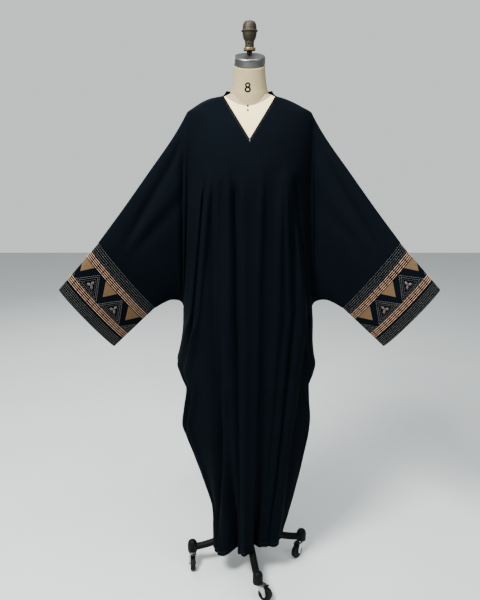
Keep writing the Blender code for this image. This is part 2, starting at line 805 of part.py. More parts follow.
def fork(name, heading, spot, into, tools):
    """Swivel pin, plate, two cheeks, axle and brake lever, trailing along +X when built."""
    top = POST_BOTTOM_Z - PART_GAP
    pin = ((0.0, top + SOCKET_DEPTH - 0.004), (PIN_R, top + SOCKET_DEPTH - 0.004), (PIN_R, top),
           (PLATE_R, top), (PLATE_R, top - PLATE_H), (0.0, top - PLATE_H))
    made = turned(name, pin, "bright plate", into, 16)
    bridge = block(name + "_bridge", (*BRIDGE_SIZE, PLATE_H), (BRIDGE_X, 0.0, top - PLATE_H / 2 - 0.0006), tools)
    cut(made, bridge, "UNION")
    for side in (-1, 1):
        y = side * (WHEEL_W / 2 + CHEEK_GAP + CHEEK_T / 2)
        low_end = WHEEL_R - CHEEK_END
        cheek = block(name + "_cheek", (CHEEK_HALF, CHEEK_T, top - low_end), (
            0.0, y, (top + low_end) / 2 - 0.0010), tools)
        for vertex in cheek.data.vertices:
            low = (top - 0.001 - vertex.co.z) / (top - WHEEL_R)
            if vertex.co.x < 0:
                vertex.co.x = CHEEK_TOP_X[0] + (TRAIL - CHEEK_HALF - CHEEK_TOP_X[0]) * low
            else:
                vertex.co.x = CHEEK_TOP_X[1] + (TRAIL + CHEEK_HALF - CHEEK_TOP_X[1]) * low
        cut(made, cheek, "UNION")
    axle_length = WHEEL_W + 2 * (CHEEK_GAP + CHEEK_T) + 0.003
    axle = crosswise(name + "_axle", AXLE_R, axle_length, (TRAIL, 0.0, WHEEL_R), tools)
    cut(made, axle, "UNION")
    lever = block(name + "_lever", LEVER_SIZE, (LEVER_X, 0.0, top - 0.0030), tools)
    for vertex in lever.data.vertices:
        if vertex.co.x > LEVER_X:
            vertex.co.z += LEVER_RISE
    cut(made, lever, "UNION")
    made.data.materials.clear()
    made.data.materials.append(material("bright plate"))
    place(made, heading, spot)
    return made


def wheel(name, heading, spot, into, tools):
    """Caster wheel with a bore for the axle, one flat facet of its tread on the floor."""
    half = WHEEL_W / 2
    profile = ((BORE_R, half), (0.0095, half), (0.0175, half - 0.0020), (WHEEL_R - 0.0018, half - 0.0006),
               (WHEEL_R, half - 0.0028), (WHEEL_R, -half + 0.0028), (WHEEL_R - 0.0018, -half + 0.0006),
               (0.0175, -half + 0.0020), (0.0095, -half), (BORE_R, -half), (BORE_R, half))
    made = turned(name, profile, "caster rubber", into, WHEEL_SIDES)
    half_facet = math.pi / WHEEL_SIDES
    stretch = 1 / math.cos(half_facet)
    for vertex in made.data.vertices:
        x, y, z = vertex.co
        a = half_facet
        x, y = x * math.cos(a) - y * math.sin(a), x * math.sin(a) + y * math.cos(a)
        vertex.co = (x * stretch, z, y * stretch)
    outward(made)
    lift = -min(vertex.co.z for vertex in made.data.vertices)
    c = math.cos(heading)
    s = math.sin(heading)
    for vertex in made.data.vertices:
        x, y, z = vertex.co
        vertex.co = (x * c - y * s, x * s + y * c, z)
    made.location = (spot[0] + TRAIL * c, spot[1] + TRAIL * s, lift)
    return made


def main():
    clear_scene()
    parts = collection(NAME)
    tools = collection("cutters", True)

    front_panel("front_panel_left", -1, parts)
    front_panel("front_panel_right", 1, parts)
    back_panel("back_panel", parts)
    neckband("back_neckband", parts)
    cuff("cuff_left", -1, parts)
    cuff("cuff_right", 1, parts)

    torso("form_torso", parts)
    form_neck("form_neck", parts)
    cap = [(radius * CAP_R, z * CAP_H) for radius, z in CAP_PROFILE]
    turned("neck_cap", cap, "cap steel", parts, 26, (CAP_CENTRE[0], CAP_CENTRE[1] + AXIS_Y), CAP_TILT, CAP_CENTRE[2])
    stem_low = CAP_CENTRE[2] + (CAP_H / 2 + PART_GAP) / math.cos(CAP_TILT) + (STEM_R + STEM_CLEAR) * math.tan(CAP_TILT)
    stem = ((0.0, RING_Z - PART_GAP), (STEM_R, RING_Z - PART_GAP), (STEM_R, stem_low), (0.0, stem_low))
    turned("finial_stem", stem, "black enamel", parts, 16, (0.0, AXIS_Y))
    ring = ((0.0, RING_Z + RING_H), (RING_R - 0.001, RING_Z + RING_H), (RING_R, RING_Z + RING_H - 0.001),
            (RING_R, RING_Z + 0.001), (RING_R - 0.001, RING_Z), (0.0, RING_Z))
    turned("finial_ring", ring, "ring brass", parts, 20, (0.0, AXIS_Y))
    turned("finial_knob", KNOB_PROFILE, "finial bronze", parts, 20, (0.0, AXIS_Y))

    pole = ((0.0, TORSO_ROWS[0][0] - PART_GAP), (POLE_R, TORSO_ROWS[0][0] - PART_GAP),
            (POLE_R, HUB_TOP_Z + PART_GAP), (0.0, HUB_TOP_Z + PART_GAP))
    turned("stand_pole", pole, "bright plate", parts, 20, (0.0, AXIS_Y))
    base_frame("base_frame", parts, tools)
    for number, angle, heading in CASTER_ROWS:
        spot = post_place(angle)
        fork("caster_fork_%d" % number, heading, spot, parts, tools)
        wheel("caster_wheel_%d" % number, heading, spot, parts, tools)
    for helper in tools.objects:
        helper.display_type = "WIRE"
        helper.hide_render = True


main()
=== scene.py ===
"""Abaya cloak on a wheeled dress form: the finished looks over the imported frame."""
import math
import bpy
import bmesh
from mathutils import Matrix, Vector


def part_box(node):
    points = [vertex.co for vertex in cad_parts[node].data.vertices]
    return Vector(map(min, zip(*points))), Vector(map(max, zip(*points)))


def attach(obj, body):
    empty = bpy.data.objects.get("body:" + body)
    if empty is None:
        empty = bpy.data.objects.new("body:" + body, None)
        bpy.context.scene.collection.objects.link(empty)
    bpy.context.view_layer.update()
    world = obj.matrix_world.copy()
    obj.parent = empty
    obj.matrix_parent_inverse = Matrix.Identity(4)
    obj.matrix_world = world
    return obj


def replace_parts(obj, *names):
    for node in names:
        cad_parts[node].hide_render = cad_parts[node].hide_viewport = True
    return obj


bl_info = {
    "name": "Abaya cloak on dress form",
    "version": (1, 0, 0),
    "blender": (4, 5, 0),
    "location": "View3D > Sidebar > Abaya",
    "description": "Builds the cloth, the patterned cuffs, the dress form and its wheeled stand",
    "category": "Add Mesh",
}

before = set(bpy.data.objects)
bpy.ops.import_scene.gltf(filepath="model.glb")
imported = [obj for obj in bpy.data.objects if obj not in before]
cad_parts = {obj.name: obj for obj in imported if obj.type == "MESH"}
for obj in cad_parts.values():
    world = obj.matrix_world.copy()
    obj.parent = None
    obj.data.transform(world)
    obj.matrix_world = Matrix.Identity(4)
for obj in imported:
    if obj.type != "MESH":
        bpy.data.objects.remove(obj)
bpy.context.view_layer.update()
BODY = "stand"

# Body of the garment
# height, left half width, right half width, pointedness, front depth, back depth
SECTION_ROWS = (
    (0.100, 0.115, 0.119, 0.66, 0.128, 0.098),
    (0.160, 0.114, 0.128, 0.68, 0.129, 0.099),
    (0.220, 0.113, 0.142, 0.72, 0.130, 0.101),
    (0.320, 0.139, 0.167, 0.82, 0.132, 0.106),
    (0.455, 0.184, 0.197, 0.98, 0.135, 0.113),
    (0.513, 0.206, 0.207, 1.06, 0.136, 0.116),
    (0.556, 0.219, 0.210, 1.10, 0.137, 0.118),
    (0.631, 0.210, 0.204, 1.00, 0.138, 0.121),
    (0.685, 0.203, 0.202, 0.98, 0.139, 0.124),
    (0.716, 0.224, 0.216, 1.15, 0.140, 0.126),
    (0.746, 0.241, 0.224, 1.35, 0.140, 0.128),
    (0.785, 0.232, 0.217, 1.22, 0.140, 0.130),
    (0.835, 0.221, 0.211, 1.10, 0.140, 0.133),
    (0.900, 0.212, 0.208, 1.03, 0.140, 0.135),
    (0.955, 0.208, 0.203, 1.00, 0.140, 0.136),
    (1.100, 0.199, 0.196, 1.00, 0.139, 0.130),
    (1.250, 0.192, 0.190, 1.00, 0.138, 0.118),
    (1.360, 0.187, 0.187, 1.00, 0.136, 0.111),
    (1.400, 0.186, 0.187, 1.00, 0.130, 0.109),
    (1.476, 0.187, 0.189, 1.00, 0.110, 0.106),
    (1.520, 0.187, 0.189, 1.00, 0.092, 0.098),
    (1.550, 0.185, 0.185, 1.00, 0.077, 0.086),
    (1.566, 0.163, 0.1575, 1.00, 0.0695, 0.0775),
    (1.580, 0.140, 0.1295, 1.00, 0.0645, 0.0710),
    (1.590, 0.116, 0.104, 1.00, 0.0620, 0.0660),
    (1.5985, 0.077, 0.077, 1.00, 0.060, 0.062),
    (1.6125, 0.066, 0.066, 1.00, 0.057, 0.060),
)

# Folds by angle round the section, 0 at the right side seam and 180 at the left:
# angle at hem, at underarm, at bust, out at hem, at hip, at underarm, at bust, half width
FRONT_FOLDS = (
    (118.0, 103.0, 104.0, -0.046, -0.022, -0.014, -0.009, 10.0),
    (75.0, 75.0, 70.0, -0.044, -0.021, -0.013, -0.006, 11.0),
    (146.0, 110.0, 112.0, 0.018, 0.013, 0.011, 0.004, 15.0),
    (168.0, 148.0, 126.0, 0.004, 0.008, 0.011, 0.011, 12.0),
    (40.0, 36.0, 53.0, 0.004, 0.010, 0.011, 0.009, 14.0),
    (58.0, 54.0, 38.0, -0.024, -0.010, -0.008, -0.004, 16.0),
    (140.0, 121.0, 124.0, -0.006, -0.018, -0.018, -0.010, 7.0),
    (20.0, 18.0, 24.0, -0.006, -0.008, -0.006, -0.003, 9.0),
)
BACK_FOLDS = (
    (96.0, 94.0, 92.0, 0.012, 0.011, 0.008, 0.002, 13.0),
    (70.0, 72.0, 74.0, -0.022, -0.014, -0.009, -0.003, 11.0),
    (122.0, 116.0, 112.0, -0.024, -0.015, -0.010, -0.003, 11.0),
    (48.0, 46.0, 52.0, 0.008, 0.010, 0.010, 0.003, 13.0),
    (146.0, 140.0, 132.0, 0.008, 0.010, 0.010, 0.003, 13.0),
    (27.0, 26.0, 34.0, -0.006, -0.009, -0.008, -0.002, 10.0),
    (160.0, 158.0, 150.0, -0.006, -0.009, -0.008, -0.002, 10.0),
)

# Small creases between the folds, the same columns; they start below the bust
FRONT_CREASES = (
    (104.0, 100.0, 103.0, -0.006, -0.006, -0.007, -0.007, 3.2),
    (96.0, 94.5, 96.5, 0.004, 0.004, 0.004, 0.005, 4.2),
    (112.0, 107.0, 109.5, 0.003, 0.003, 0.004, 0.005, 4.2),
    (161.0, 139.0, 129.0, 0.003, 0.006, 0.008, 0.008, 3.8),
    (167.0, 145.0, 133.5, -0.002, -0.004, -0.008, -0.009, 3.6),
    (172.0, 151.0, 138.0, 0.002, 0.003, 0.005, 0.006, 3.6),
    (148.0, 115.0, 115.5, -0.005, -0.006, -0.007, -0.006, 3.4),
    (66.0, 64.0, 60.0, 0.003, 0.005, 0.005, 0.004, 4.4),
    (82.0, 82.0, 79.0, 0.004, 0.004, 0.004, 0.005, 3.4),
    (48.0, 45.0, 45.0, -0.004, -0.006, -0.007, -0.006, 4.4),
    (52.0, 52.0, 55.0, 0.002, 0.003, 0.004, 0.005, 3.4),
    (14.0, 31.0, 50.0, 0.002, 0.004, 0.006, 0.005, 4.6),
    (11.0, 25.0, 45.0, -0.002, -0.006, -0.008, -0.007, 4.2),
)
BACK_CREASES = (
    (84.0, 83.0, 83.0, -0.003, -0.004, -0.004, -0.002, 4.0),
    (108.0, 105.0, 102.0, 0.003, 0.004, 0.004, 0.002, 4.0),
    (60.0, 58.0, 62.0, 0.004, 0.005, 0.004, 0.002, 4.5),
    (134.0, 128.0, 122.0, 0.004, 0.005, 0.004, 0.002, 4.5),
    (36.0, 34.0, 40.0, -0.003, -0.005, -0.004, -0.002, 4.5),
    (152.0, 148.0, 142.0, -0.003, -0.005, -0.004, -0.002, 4.5),
)
CREASE_END = (1.30, 1.392)
CREASE_GAIN = 1.6

# Heights that the columns of the fold tables stand for, and where the folds have run out
FOLD_ANGLE_HEIGHTS = (0.10, 0.955, 1.36)
FOLD_OUT_HEIGHTS = (0.10, 0.55, 0.955, 1.36)
FOLD_END_Z = 1.415

# How steeply a fold's sides run, and the degrees beside a side seam in which the folds calm down
FOLD_STEEPNESS = 1.4
SEAM_CALM = 12.0

# Share of the skirt's height in which the hem's rise fades, and how softly the cloth starts to turn
HEM_FADE = 0.12
SWEEP_SOFT = 0.016
SETBACK_SOFT = 0.006

# Heights below the underarm from which the folds stop widening the sides, and the sides come forward
WIDE_UNTIL = 0.86
SWEEP_ABOVE = 0.80

# Where the sleeve takes over from the body: share of the body's columns, shares of the sleeve,
# and how tightly one surface runs into the other
SLEEVE_START = 0.72
UNDERARM_BLEND = 0.3
BODY_END = 0.8
MERGE_POWER = 5

# Folds that are slighter than this at the hem, between these angles, hang straight in the front view
STRAIGHT_OUT = 0.02
STRAIGHT_ANGLES = (15.0, 160.0)

# Cloth over the form: the heights where it is held off the linen, and by how much
FORM_REACH = (1.10, 1.45)
FORM_CLEARANCE = 0.0022

# How steeply the cloth beside the side seams falls back below the sleeves: height, left, right
SETBACK_ROWS = (
    (0.655, 0.00, 0.00),
    (0.735, 1.25, 0.45),
    (0.860, 1.25, 0.45),
    (0.950, 0.00, 0.00),
)

# Rise of the hem edge above its lowest level: angle, front, back
HEM_RISE_ROWS = (
    (0.0, 0.034, 0.034),
    (30.0, 0.032, 0.030),
    (58.0, 0.028, 0.026),
    (77.0, 0.026, 0.026),
    (96.0, 0.020, 0.024),
    (106.0, 0.014, 0.024),
    (118.0, 0.018, 0.025),
    (138.0, 0.000, 0.024),
    (154.0, 0.006, 0.027),
    (180.0, 0.032, 0.032),
)

# Rise of the rounded shoulder line above a straight one, left and right
SHOULDER_ROUND = {-1: 0.010, 1: 0.005}

# Edges of a sleeve from the body to the cuff seam: share of the way, x, z
OVERARM_ROWS = (
    (0.00, 0.185, 1.550),
    (0.10, 0.199, 1.524),
    (0.25, 0.227, 1.478),
    (0.50, 0.300, 1.375),
    (0.75, 0.372, 1.274),
    (1.00, 0.4405, 1.182),
)
UNDERARM_ROWS = (
    (0.00, 0.2055, 0.955),
    (0.15, 0.213, 0.970),
    (0.35, 0.228, 0.979),
    (0.55, 0.246, 0.982),
    (0.78, 0.270, 0.975),
    (1.00, 0.2945, 0.963),
)
CUFF_TOP = ((0.4405, 1.182), (0.550, 1.056))
CUFF_BOTTOM = ((0.2945, 0.963), (0.4145, 0.858))

# Valleys and one ridge down a sleeve, as shares of its width and length:
# depth in metres, place at the body, fall towards the cuff, width, strength on the right
SLEEVE_FOLDS = (
    (0.010, 0.93, 0.20, 0.055, 1.0),
    (0.005, 0.58, -0.05, 0.060, 0.5),
    (-0.003, 0.70, 0.00, 0.060, 1.0),
)

# Shares of a sleeve's length in which those folds start and run out
SLEEVE_FOLDS_START = (0.0, 0.2)
SLEEVE_FOLDS_END = (0.6, 0.95)

# Trough where a sleeve leaves the body: share of the thickness, place and width along the sleeve
SLEEVE_TROUGH = (0.30, 0.07, 0.08)
TROUGH_END = (0.75, 0.98)

# Measures of a cuff: round its edge, and from the seam to the hem
CUFF_GIRTH = 0.48
CUFF_DEPTH = 0.167

# Direction across a cuff in x and z, in which a thread is lifted at its rims
CUFF_ACROSS = (0.55, 0.83)

# Number of dark triangles round a cuff
REPEATS = 5

# Places on the cuff's cut between which a quad doesn't close the ring
CUT_START = 0.1
CUT_END = 0.3

# Threads: spacing and length of a stitch, and half the thread's width
INNER_STITCH = (0.0042, 0.0032)
EDGE_STITCH = (0.0034, 0.0026, 0.00028)
EDGE_CORD_RADIUS = 0.00055
THREAD_LIFT = 0.0001

# Topstitching: below the V edge, above the hem, and the half width by which it is spread off the cloth
V_INSET = 0.0085
HEM_INSET = 0.014
HEM_HALF = 0.16

# Rings of a raised petal: size, height above the cuff
PETAL_RINGS = ((1.0, -0.0002), (0.85, 0.0006), (0.45, 0.0010))
PETAL_TURNS = (90.0, 210.0, 330.0)

# Lines of the cuff pattern: distance from the cuff seam
FINE_ROWS = (0.0012, 0.0072, 0.0132, 0.0192, 0.0252, 0.1385, 0.1435, 0.1485, 0.1535, 0.1585, 0.1635)
GOLD_ROWS = (0.0312, 0.0366, 0.0420, 0.0474, 0.1130, 0.1184, 0.1238, 0.1292)

# Outlines nested in a dark triangle: half base, base line, tip line
OUTLINE_ROWS = (
    (0.0425, 0.1085, 0.0530),
    (0.0328, 0.1037, 0.0609),
    (0.0230, 0.0989, 0.0688),
)

# Dress form: height, half width, front depth, back depth
TORSO_ROWS = (
    (0.862, 0.120, 0.072, 0.082),
    (0.868, 0.150, 0.090, 0.102),
    (0.885, 0.163, 0.098, 0.110),
    (0.930, 0.172, 0.106, 0.118),
    (0.990, 0.175, 0.110, 0.122),
    (1.050, 0.166, 0.106, 0.114),
    (1.120, 0.143, 0.096, 0.098),
    (1.180, 0.126, 0.088, 0.087),
    (1.220, 0.122, 0.088, 0.085),
    (1.270, 0.131, 0.100, 0.088),
    (1.320, 0.143, 0.120, 0.093),
    (1.360, 0.152, 0.130, 0.098),
    (1.400, 0.160, 0.124, 0.102),
    (1.440, 0.168, 0.114, 0.1025),
    (1.476, 0.177, 0.1060, 0.1020),
    (1.505, 0.1815, 0.0935, 0.0965),
    (1.530, 0.1822, 0.0825, 0.0890),
    (1.5445, 0.1812, 0.0755, 0.0835),
    (1.5495, 0.1790, 0.0730, 0.0810),
    (1.561, 0.1550, 0.0662, 0.0750),
    (1.574, 0.1272, 0.0595, 0.0680),
    (1.587, 0.0970, 0.0525, 0.0575),
    (1.596, 0.0765, 0.0490, 0.0515),
    (1.604, 0.0600, 0.0490, 0.0500),
)

# Neck of the form, flared where it meets the chest: share of its height, radius
NECK_ROWS = (
    (0.0, 0.0622), (0.134, 0.0600), (0.249, 0.0580), (0.363, 0.0560), (0.454, 0.0530), (0.612, 0.0500),
    (0.841, 0.0470), (1.0, 0.0455),
)
NECK_BASE = 1.566

# Rings of the printed figure eight:
# height above its middle in figure heights, half width, half height, line
NUMERAL_Z = 1.6192
NUMERAL_RINGS = ((0.245, 0.0082, 0.0078, 0.0050), (-0.215, 0.0096, 0.0088, 0.0054))

# Middle of the neck cap: y, z
CAP_MIDDLE = (-0.003, 1.698)

# Seats of the two tacks below the neck
TACK_HEIGHTS = (1.5680, 1.5560)
TACK_SLANT = math.radians(63.0)

# Outlines that are turned about an axis: radius, height
TACK_PROFILE = ((0.0, 0.0024), (0.0022, 0.0022), (0.0028, 0.0014), (0.0028, 0.0), (0.0, 0.0))
SNAP_PROFILE = ((0.0, 0.0010), (0.0011, 0.0009), (0.0016, 0.0006), (0.0018, 0.0), (0.0, 0.0))
# Black disc that stands proud on the knob: painted shade of the screw hole, which has no recess
HOLE_SHADE_PROFILE = ((0.0, 0.0006), (0.0020, 0.0006), (0.0024, 0.0), (0.0, 0.0))
CAP_PROFILE = (
    (0.0, 0.5), (0.88, 0.5), (0.95, 0.47), (0.99, 0.36), (1.0, 0.22), (1.0, -0.34),
    (0.985, -0.44), (0.965, -0.5), (0.0, -0.5),
)
# Place of the black disc of painted shade for the screw hole
HOLE_SHADE_PLACE = (-0.0026, -0.0130, 1.7425)
STEM_RADIUS = 0.0080
RING_PROFILE = ((0.0, 1.7326), (0.0180, 1.7326), (0.0180, 1.7238), (0.0, 1.7238))
HUB_PROFILE = (
    (0.0, 0.132), (0.016, 0.132), (0.020, 0.128), (0.021, 0.116), (0.0285, 0.110),
    (0.030, 0.104), (0.030, 0.088), (0.026, 0.082), (0.0, 0.082),
)
KNOB_PROFILE = (
    (0.0, 1.8056), (0.0100, 1.8050), (0.0158, 1.8022), (0.0192, 1.7960), (0.0206, 1.7880),
    (0.0208, 1.7815), (0.0230, 1.7806), (0.0246, 1.7788), (0.0246, 1.7768), (0.0230, 1.7752),
    (0.0211, 1.7745), (0.0204, 1.7660), (0.0180, 1.7570), (0.0142, 1.7512), (0.0132, 1.7480),
    (0.0132, 1.7345), (0.0122, 1.7330), (0.0, 1.7330),
)

# Middle line of a leg: distance from the pole, height
LEG_ROWS = (
    (0.020, 0.0975), (0.060, 0.0985), (0.100, 0.0900), (0.140, 0.0780), (0.172, 0.0715), (0.199, 0.0700),
)
BASE_TURN = math.radians(9.0)

# Casters: CAD number, body of the fork, body of the wheel, leg angle, heading
CASTER_ROWS = (
    (1, "fork_left", "wheel_left", math.pi + BASE_TURN, math.radians(-84.0)),
    (2, "fork_right", "wheel_right", BASE_TURN, math.radians(-129.0)),
    (3, "fork_front", "wheel_front", -math.pi / 2 + BASE_TURN, math.radians(-28.0)),
    (4, "fork_back", "wheel_back", math.pi / 2 + BASE_TURN, math.radians(152.0)),
)

# Fork: level of its plate, gap beside the wheel, outer face of a cheek, half width of the brake lever
FORK_TOP = 0.0556
CHEEK_INNER = 0.0018
CHEEK_OUTER = 0.0040
LEVER_HALF = 0.0095
LEVER_OUTLINE = (
    (0.0255, 0.0520), (0.0330, 0.0524), (0.0392, 0.0556), (0.0392, 0.0574), (0.0322, 0.0544),
    (0.0255, 0.0540),
)

# Stage: name, place, size, power and tint of each light
LIGHTS = (
    ("key", (-1.25, -1.65, 3.3), 1.0, 270.0, (1.0, 0.985, 0.96)),
    ("fill", (1.9, -1.6, 2.7), 1.6, 22.0, (0.95, 0.98, 1.0)),
    ("top", (0.2, -0.5, 3.4), 1.4, 55.0, (1.0, 1.0, 1.0)),
    ("back", (-1.4, 2.6, 2.6), 2.2, 60.0, (0.97, 0.99, 1.0)),
)
LIGHT_AIM = Vector((0.0, 0.0, 1.0))
FLOOR_HALF = 6.0

# Camera: where it stands, its pitch, and its focal length and picture height in pixels
CAMERA_PLACE = (-0.0275, -1.936, 1.49)
CAMERA_PITCH = math.radians(75.0)
SENSOR = 36.0
FOCAL_PIXELS = 620.0
PICTURE_PIXELS = 600.0


def metres(name, description, default):
    return bpy.props.FloatProperty(
        name=name, description=description, default=default, unit="LENGTH", precision=4)


def colour(name, description, default):
    return bpy.props.FloatVectorProperty(
        name=name, description=description, default=default, size=3, subtype="COLOR", min=0.0, max=1.0)


class AbayaCloth(bpy.types.PropertyGroup):
    wall: metres("Wall", "Thickness of the crepe with its turnings", 0.0015)
    underarm: metres("Underarm", "Height of the underarm row", 0.955)
    hem: metres("Hem", "Height of the lowest point of the hem", 0.088)
    neck_half: metres("Neck half width", "Half the distance between the neck points", 0.077)
    neck_height: metres("Neck height", "Height of the neck points", 1.5985)
    v_tip: metres("V tip", "Height of the lowest point of the V neck", 1.476)
    shoulder_x: metres("Shoulder", "Half width at the shoulder tips", 0.185)
    shoulder_z: metres("Shoulder height", "Height of the shoulder tips", 1.550)
    sleeve_thick: metres("Sleeve", "Half thickness of the flattened sleeve at the body", 0.042)
    cuff_thick: metres("Cuff", "Half thickness of the flattened cuff", 0.019)
    sweep_from: metres(
        "Sweep start", "Distance from the middle where the sleeves start to come forward", 0.183)
    setback_from: metres(
        "Setback start", "Distance from the middle where the sides start to fall back", 0.190)
    band_top: metres("Neckband top", "Height of the back neckband's upper edge", 1.6125)
    sweep: bpy.props.FloatProperty(
        name="Sweep", description="How far the sleeves come forward for each metre outwards", default=0.55)
    crepe: colour("Crepe", "Colour of the black crepe", (0.0007, 0.0011, 0.0017))
    crepe_light: colour(
        "Worn crepe", "Colour of the crepe where its nap catches light", (0.0020, 0.0031, 0.0045))


class AbayaCuff(bpy.types.PropertyGroup):
    repeat: metres("Repeat", "Width of one repeat of the triangles", 0.096)
    first: metres("First triangle", "Distance of the middle gold triangle from the overarm edge", 0.108)
    gold_half: metres("Half base", "Half the base of a gold triangle", 0.0245)
    gold_top: metres("Base line", "Distance of the gold triangles' base from the cuff seam", 0.0512)
    gold_tip: metres("Tip line", "Distance of the gold triangles' tip from the cuff seam", 0.0880)
    bar_pitch: metres("Bar spacing", "Distance from one gold bar to the next", 0.0209)
    bar_length: metres("Bar length", "Length of one gold bar", 0.0184)
    bar_radius: metres("Bar radius", "Half the width of a gold bar", 0.00056)
    stitch_pitch: metres("Stitch spacing", "Distance from one fine stitch to the next", 0.0062)
    stitch_length: metres("Stitch length", "Length of a fine stitch", 0.0046)
    stitch_radius: metres("Stitch radius", "Half the width of a fine stitch", 0.00036)
    petal_long: metres("Petal length", "Half the length of a petal", 0.0058)
    petal_wide: metres("Petal width", "Half the width of a petal", 0.0038)
    petal_line: metres("Petal line", "Distance of the petals' middle from the cuff seam", 0.0890)
    gold: colour("Gold thread", "Colour of the triangles", (0.105, 0.066, 0.033))
    rose: colour("Rose gold thread", "Colour of the bars", (0.58, 0.36, 0.215))
    pale: colour("Grey thread", "Colour of the fine stitches", (0.132, 0.136, 0.110))
    petal: colour("Petal thread", "Colour of the small petals", (0.055, 0.039, 0.038))


class AbayaForm(bpy.types.PropertyGroup):
    cap_radius: metres("Cap radius", "Radius of the neck cap", 0.0465)
    cap_height: metres("Cap height", "Thickness of the neck cap", 0.025)
    cap_tilt: bpy.props.FloatProperty(
        name="Cap tilt", description="Forward slant of the neck cap", default=math.radians(19.0),
        subtype="ANGLE")
    turn: metres("Turn", "How far the front of the form lies off the middle", -0.0052)
    numeral_height: metres("Numeral", "Height of the size numeral on the neck", 0.027)
    linen: colour("Linen", "Colour of the linen cover", (0.86, 0.71, 0.365))
    neck_linen: colour("Neck linen", "Colour of the linen on the neck", (0.292, 0.248, 0.140))
    steel: colour("Cap steel", "Colour of the neck cap", (0.17, 0.175, 0.172))
    bronze: colour("Bronze", "Colour of the finial", (0.050, 0.044, 0.032))
    brass: colour("Brass", "Colour of the ring", (0.175, 0.135, 0.070))


class AbayaStand(bpy.types.PropertyGroup):
    reach: metres("Reach", "Distance from the pole to a caster post", 0.199)
    leg_radius: metres("Leg radius", "Radius of a leg", 0.0125)
    post_radius: metres("Post radius", "Radius of a caster post", 0.017)
    wheel_radius: metres("Wheel radius", "Radius of a caster wheel", 0.024)
    wheel_width: metres("Wheel width", "Width of a caster wheel", 0.018)
    trail: metres("Trail", "Distance from the swivel to the axle", 0.028)
    pole_radius: metres("Pole radius", "Radius of the pole", 0.0125)
    enamel: colour("Enamel", "Colour of the base", (0.0018, 0.0023, 0.0026))
    plate: colour("Plating", "Colour of the caster forks", (0.50, 0.50, 0.48))
    rubber: colour("Rubber", "Colour of the wheel treads", (0.0030, 0.0032, 0.0034))


# Shader maths

class Wire:
    """A shader socket that takes part in Python expressions."""

    def __init__(self, tree, socket):
        self.tree = tree
        self.socket = socket

    def maths(self, operation, *others, clamp=False):
        made = self.tree.nodes.new("ShaderNodeMath")
        made.operation = operation
        made.use_clamp = clamp
        for k, value in enumerate((self,) + others):
            feed(self.tree, made.inputs[k], value)
        return Wire(self.tree, made.outputs[0])

    def swapped(self, operation, other):
        made = self.tree.nodes.new("ShaderNodeMath")
        made.operation = operation
        feed(self.tree, made.inputs[0], other)
        feed(self.tree, made.inputs[1], self)
        return Wire(self.tree, made.outputs[0])

    def __add__(self, other):
        return self.maths("ADD", other)

    def __radd__(self, other):
        return self.swapped("ADD", other)

    def __sub__(self, other):
        return self.maths("SUBTRACT", other)

    def __rsub__(self, other):
        return self.swapped("SUBTRACT", other)

    def __mul__(self, other):
        return self.maths("MULTIPLY", other)

    def __rmul__(self, other):
        return self.swapped("MULTIPLY", other)

    def __truediv__(self, other):
        return self.maths("DIVIDE", other)

    def __pow__(self, other):
        return self.maths("POWER", other)

    def __mod__(self, other):
        return self.maths("FLOORED_MODULO", other)

    def __neg__(self):
        return self.maths("MULTIPLY", -1.0)

    def __abs__(self):
        return self.maths("ABSOLUTE")

    def sine(self):
        return self.maths("SINE")

    def clamped(self):
        return self.maths("ADD", 0.0, clamp=True)

    def above(self, edge, soft):
        """0 below the edge and 1 above it, with a soft step."""
        return ((self - (edge - soft / 2)) / soft).clamped()


def feed(tree, socket, value):
    if isinstance(value, Wire):
        tree.links.new(value.socket, socket)
    elif value is not None:
        socket.default_value = value


class Finish:
    """A material, the calls that write its nodes, and the wires that already feed its shader."""

    def __init__(self, name):
        self.material = bpy.data.materials.new(name)
        self.material.use_nodes = True
        self.tree = self.material.node_tree
        self.shader = self.tree.nodes["Principled BSDF"]

    def node(self, kind, settings=None, inputs=None, out=0):
        made = self.tree.nodes.new(kind)
        for key, value in (settings or {}).items():
            setattr(made, key, value)
        for key, value in (inputs or {}).items():
            feed(self.tree, made.inputs[key], value)
        return Wire(self.tree, made.outputs[out])

    def split(self, vector):
        first = self.node("ShaderNodeSeparateXYZ", inputs={0: vector})
        return [Wire(self.tree, socket) for socket in first.socket.node.outputs]

    def here(self):
        return self.node("ShaderNodeTexCoord", out=3)

    def flat(self, layer):
        return self.node("ShaderNodeUVMap", {"uv_map": layer})

    def noise(self, scale, detail=2.0, rough=0.5):
        return self.node("ShaderNodeTexNoise", inputs={
            "Vector": self.here(), "Scale": scale, "Detail": detail, "Roughness": rough})

    def blend(self, factor, a, b):
        first, second = (shade if isinstance(shade, Wire) else (*shade, 1.0) for shade in (a, b))
        return self.node("ShaderNodeMix", {"data_type": "RGBA"}, {0: factor, 6: first, 7: second}, out=2)

    def bump(self, height, strength, distance, under=None):
        return self.node("ShaderNodeBump", inputs={
            "Strength": strength, "Distance": distance, "Height": height, "Normal": under})

    def set(self, **values):
        for key, value in values.items():
            socket = self.shader.inputs[key.replace("_", " ")]
            if isinstance(value, tuple) and len(value) == 3:
                value = (*value, 1.0)
            feed(self.tree, socket, value)

    def fed(self, key):
        """The wire that feeds a socket of the shader."""
        return Wire(self.tree, self.shader.inputs[key].links[0].from_socket)


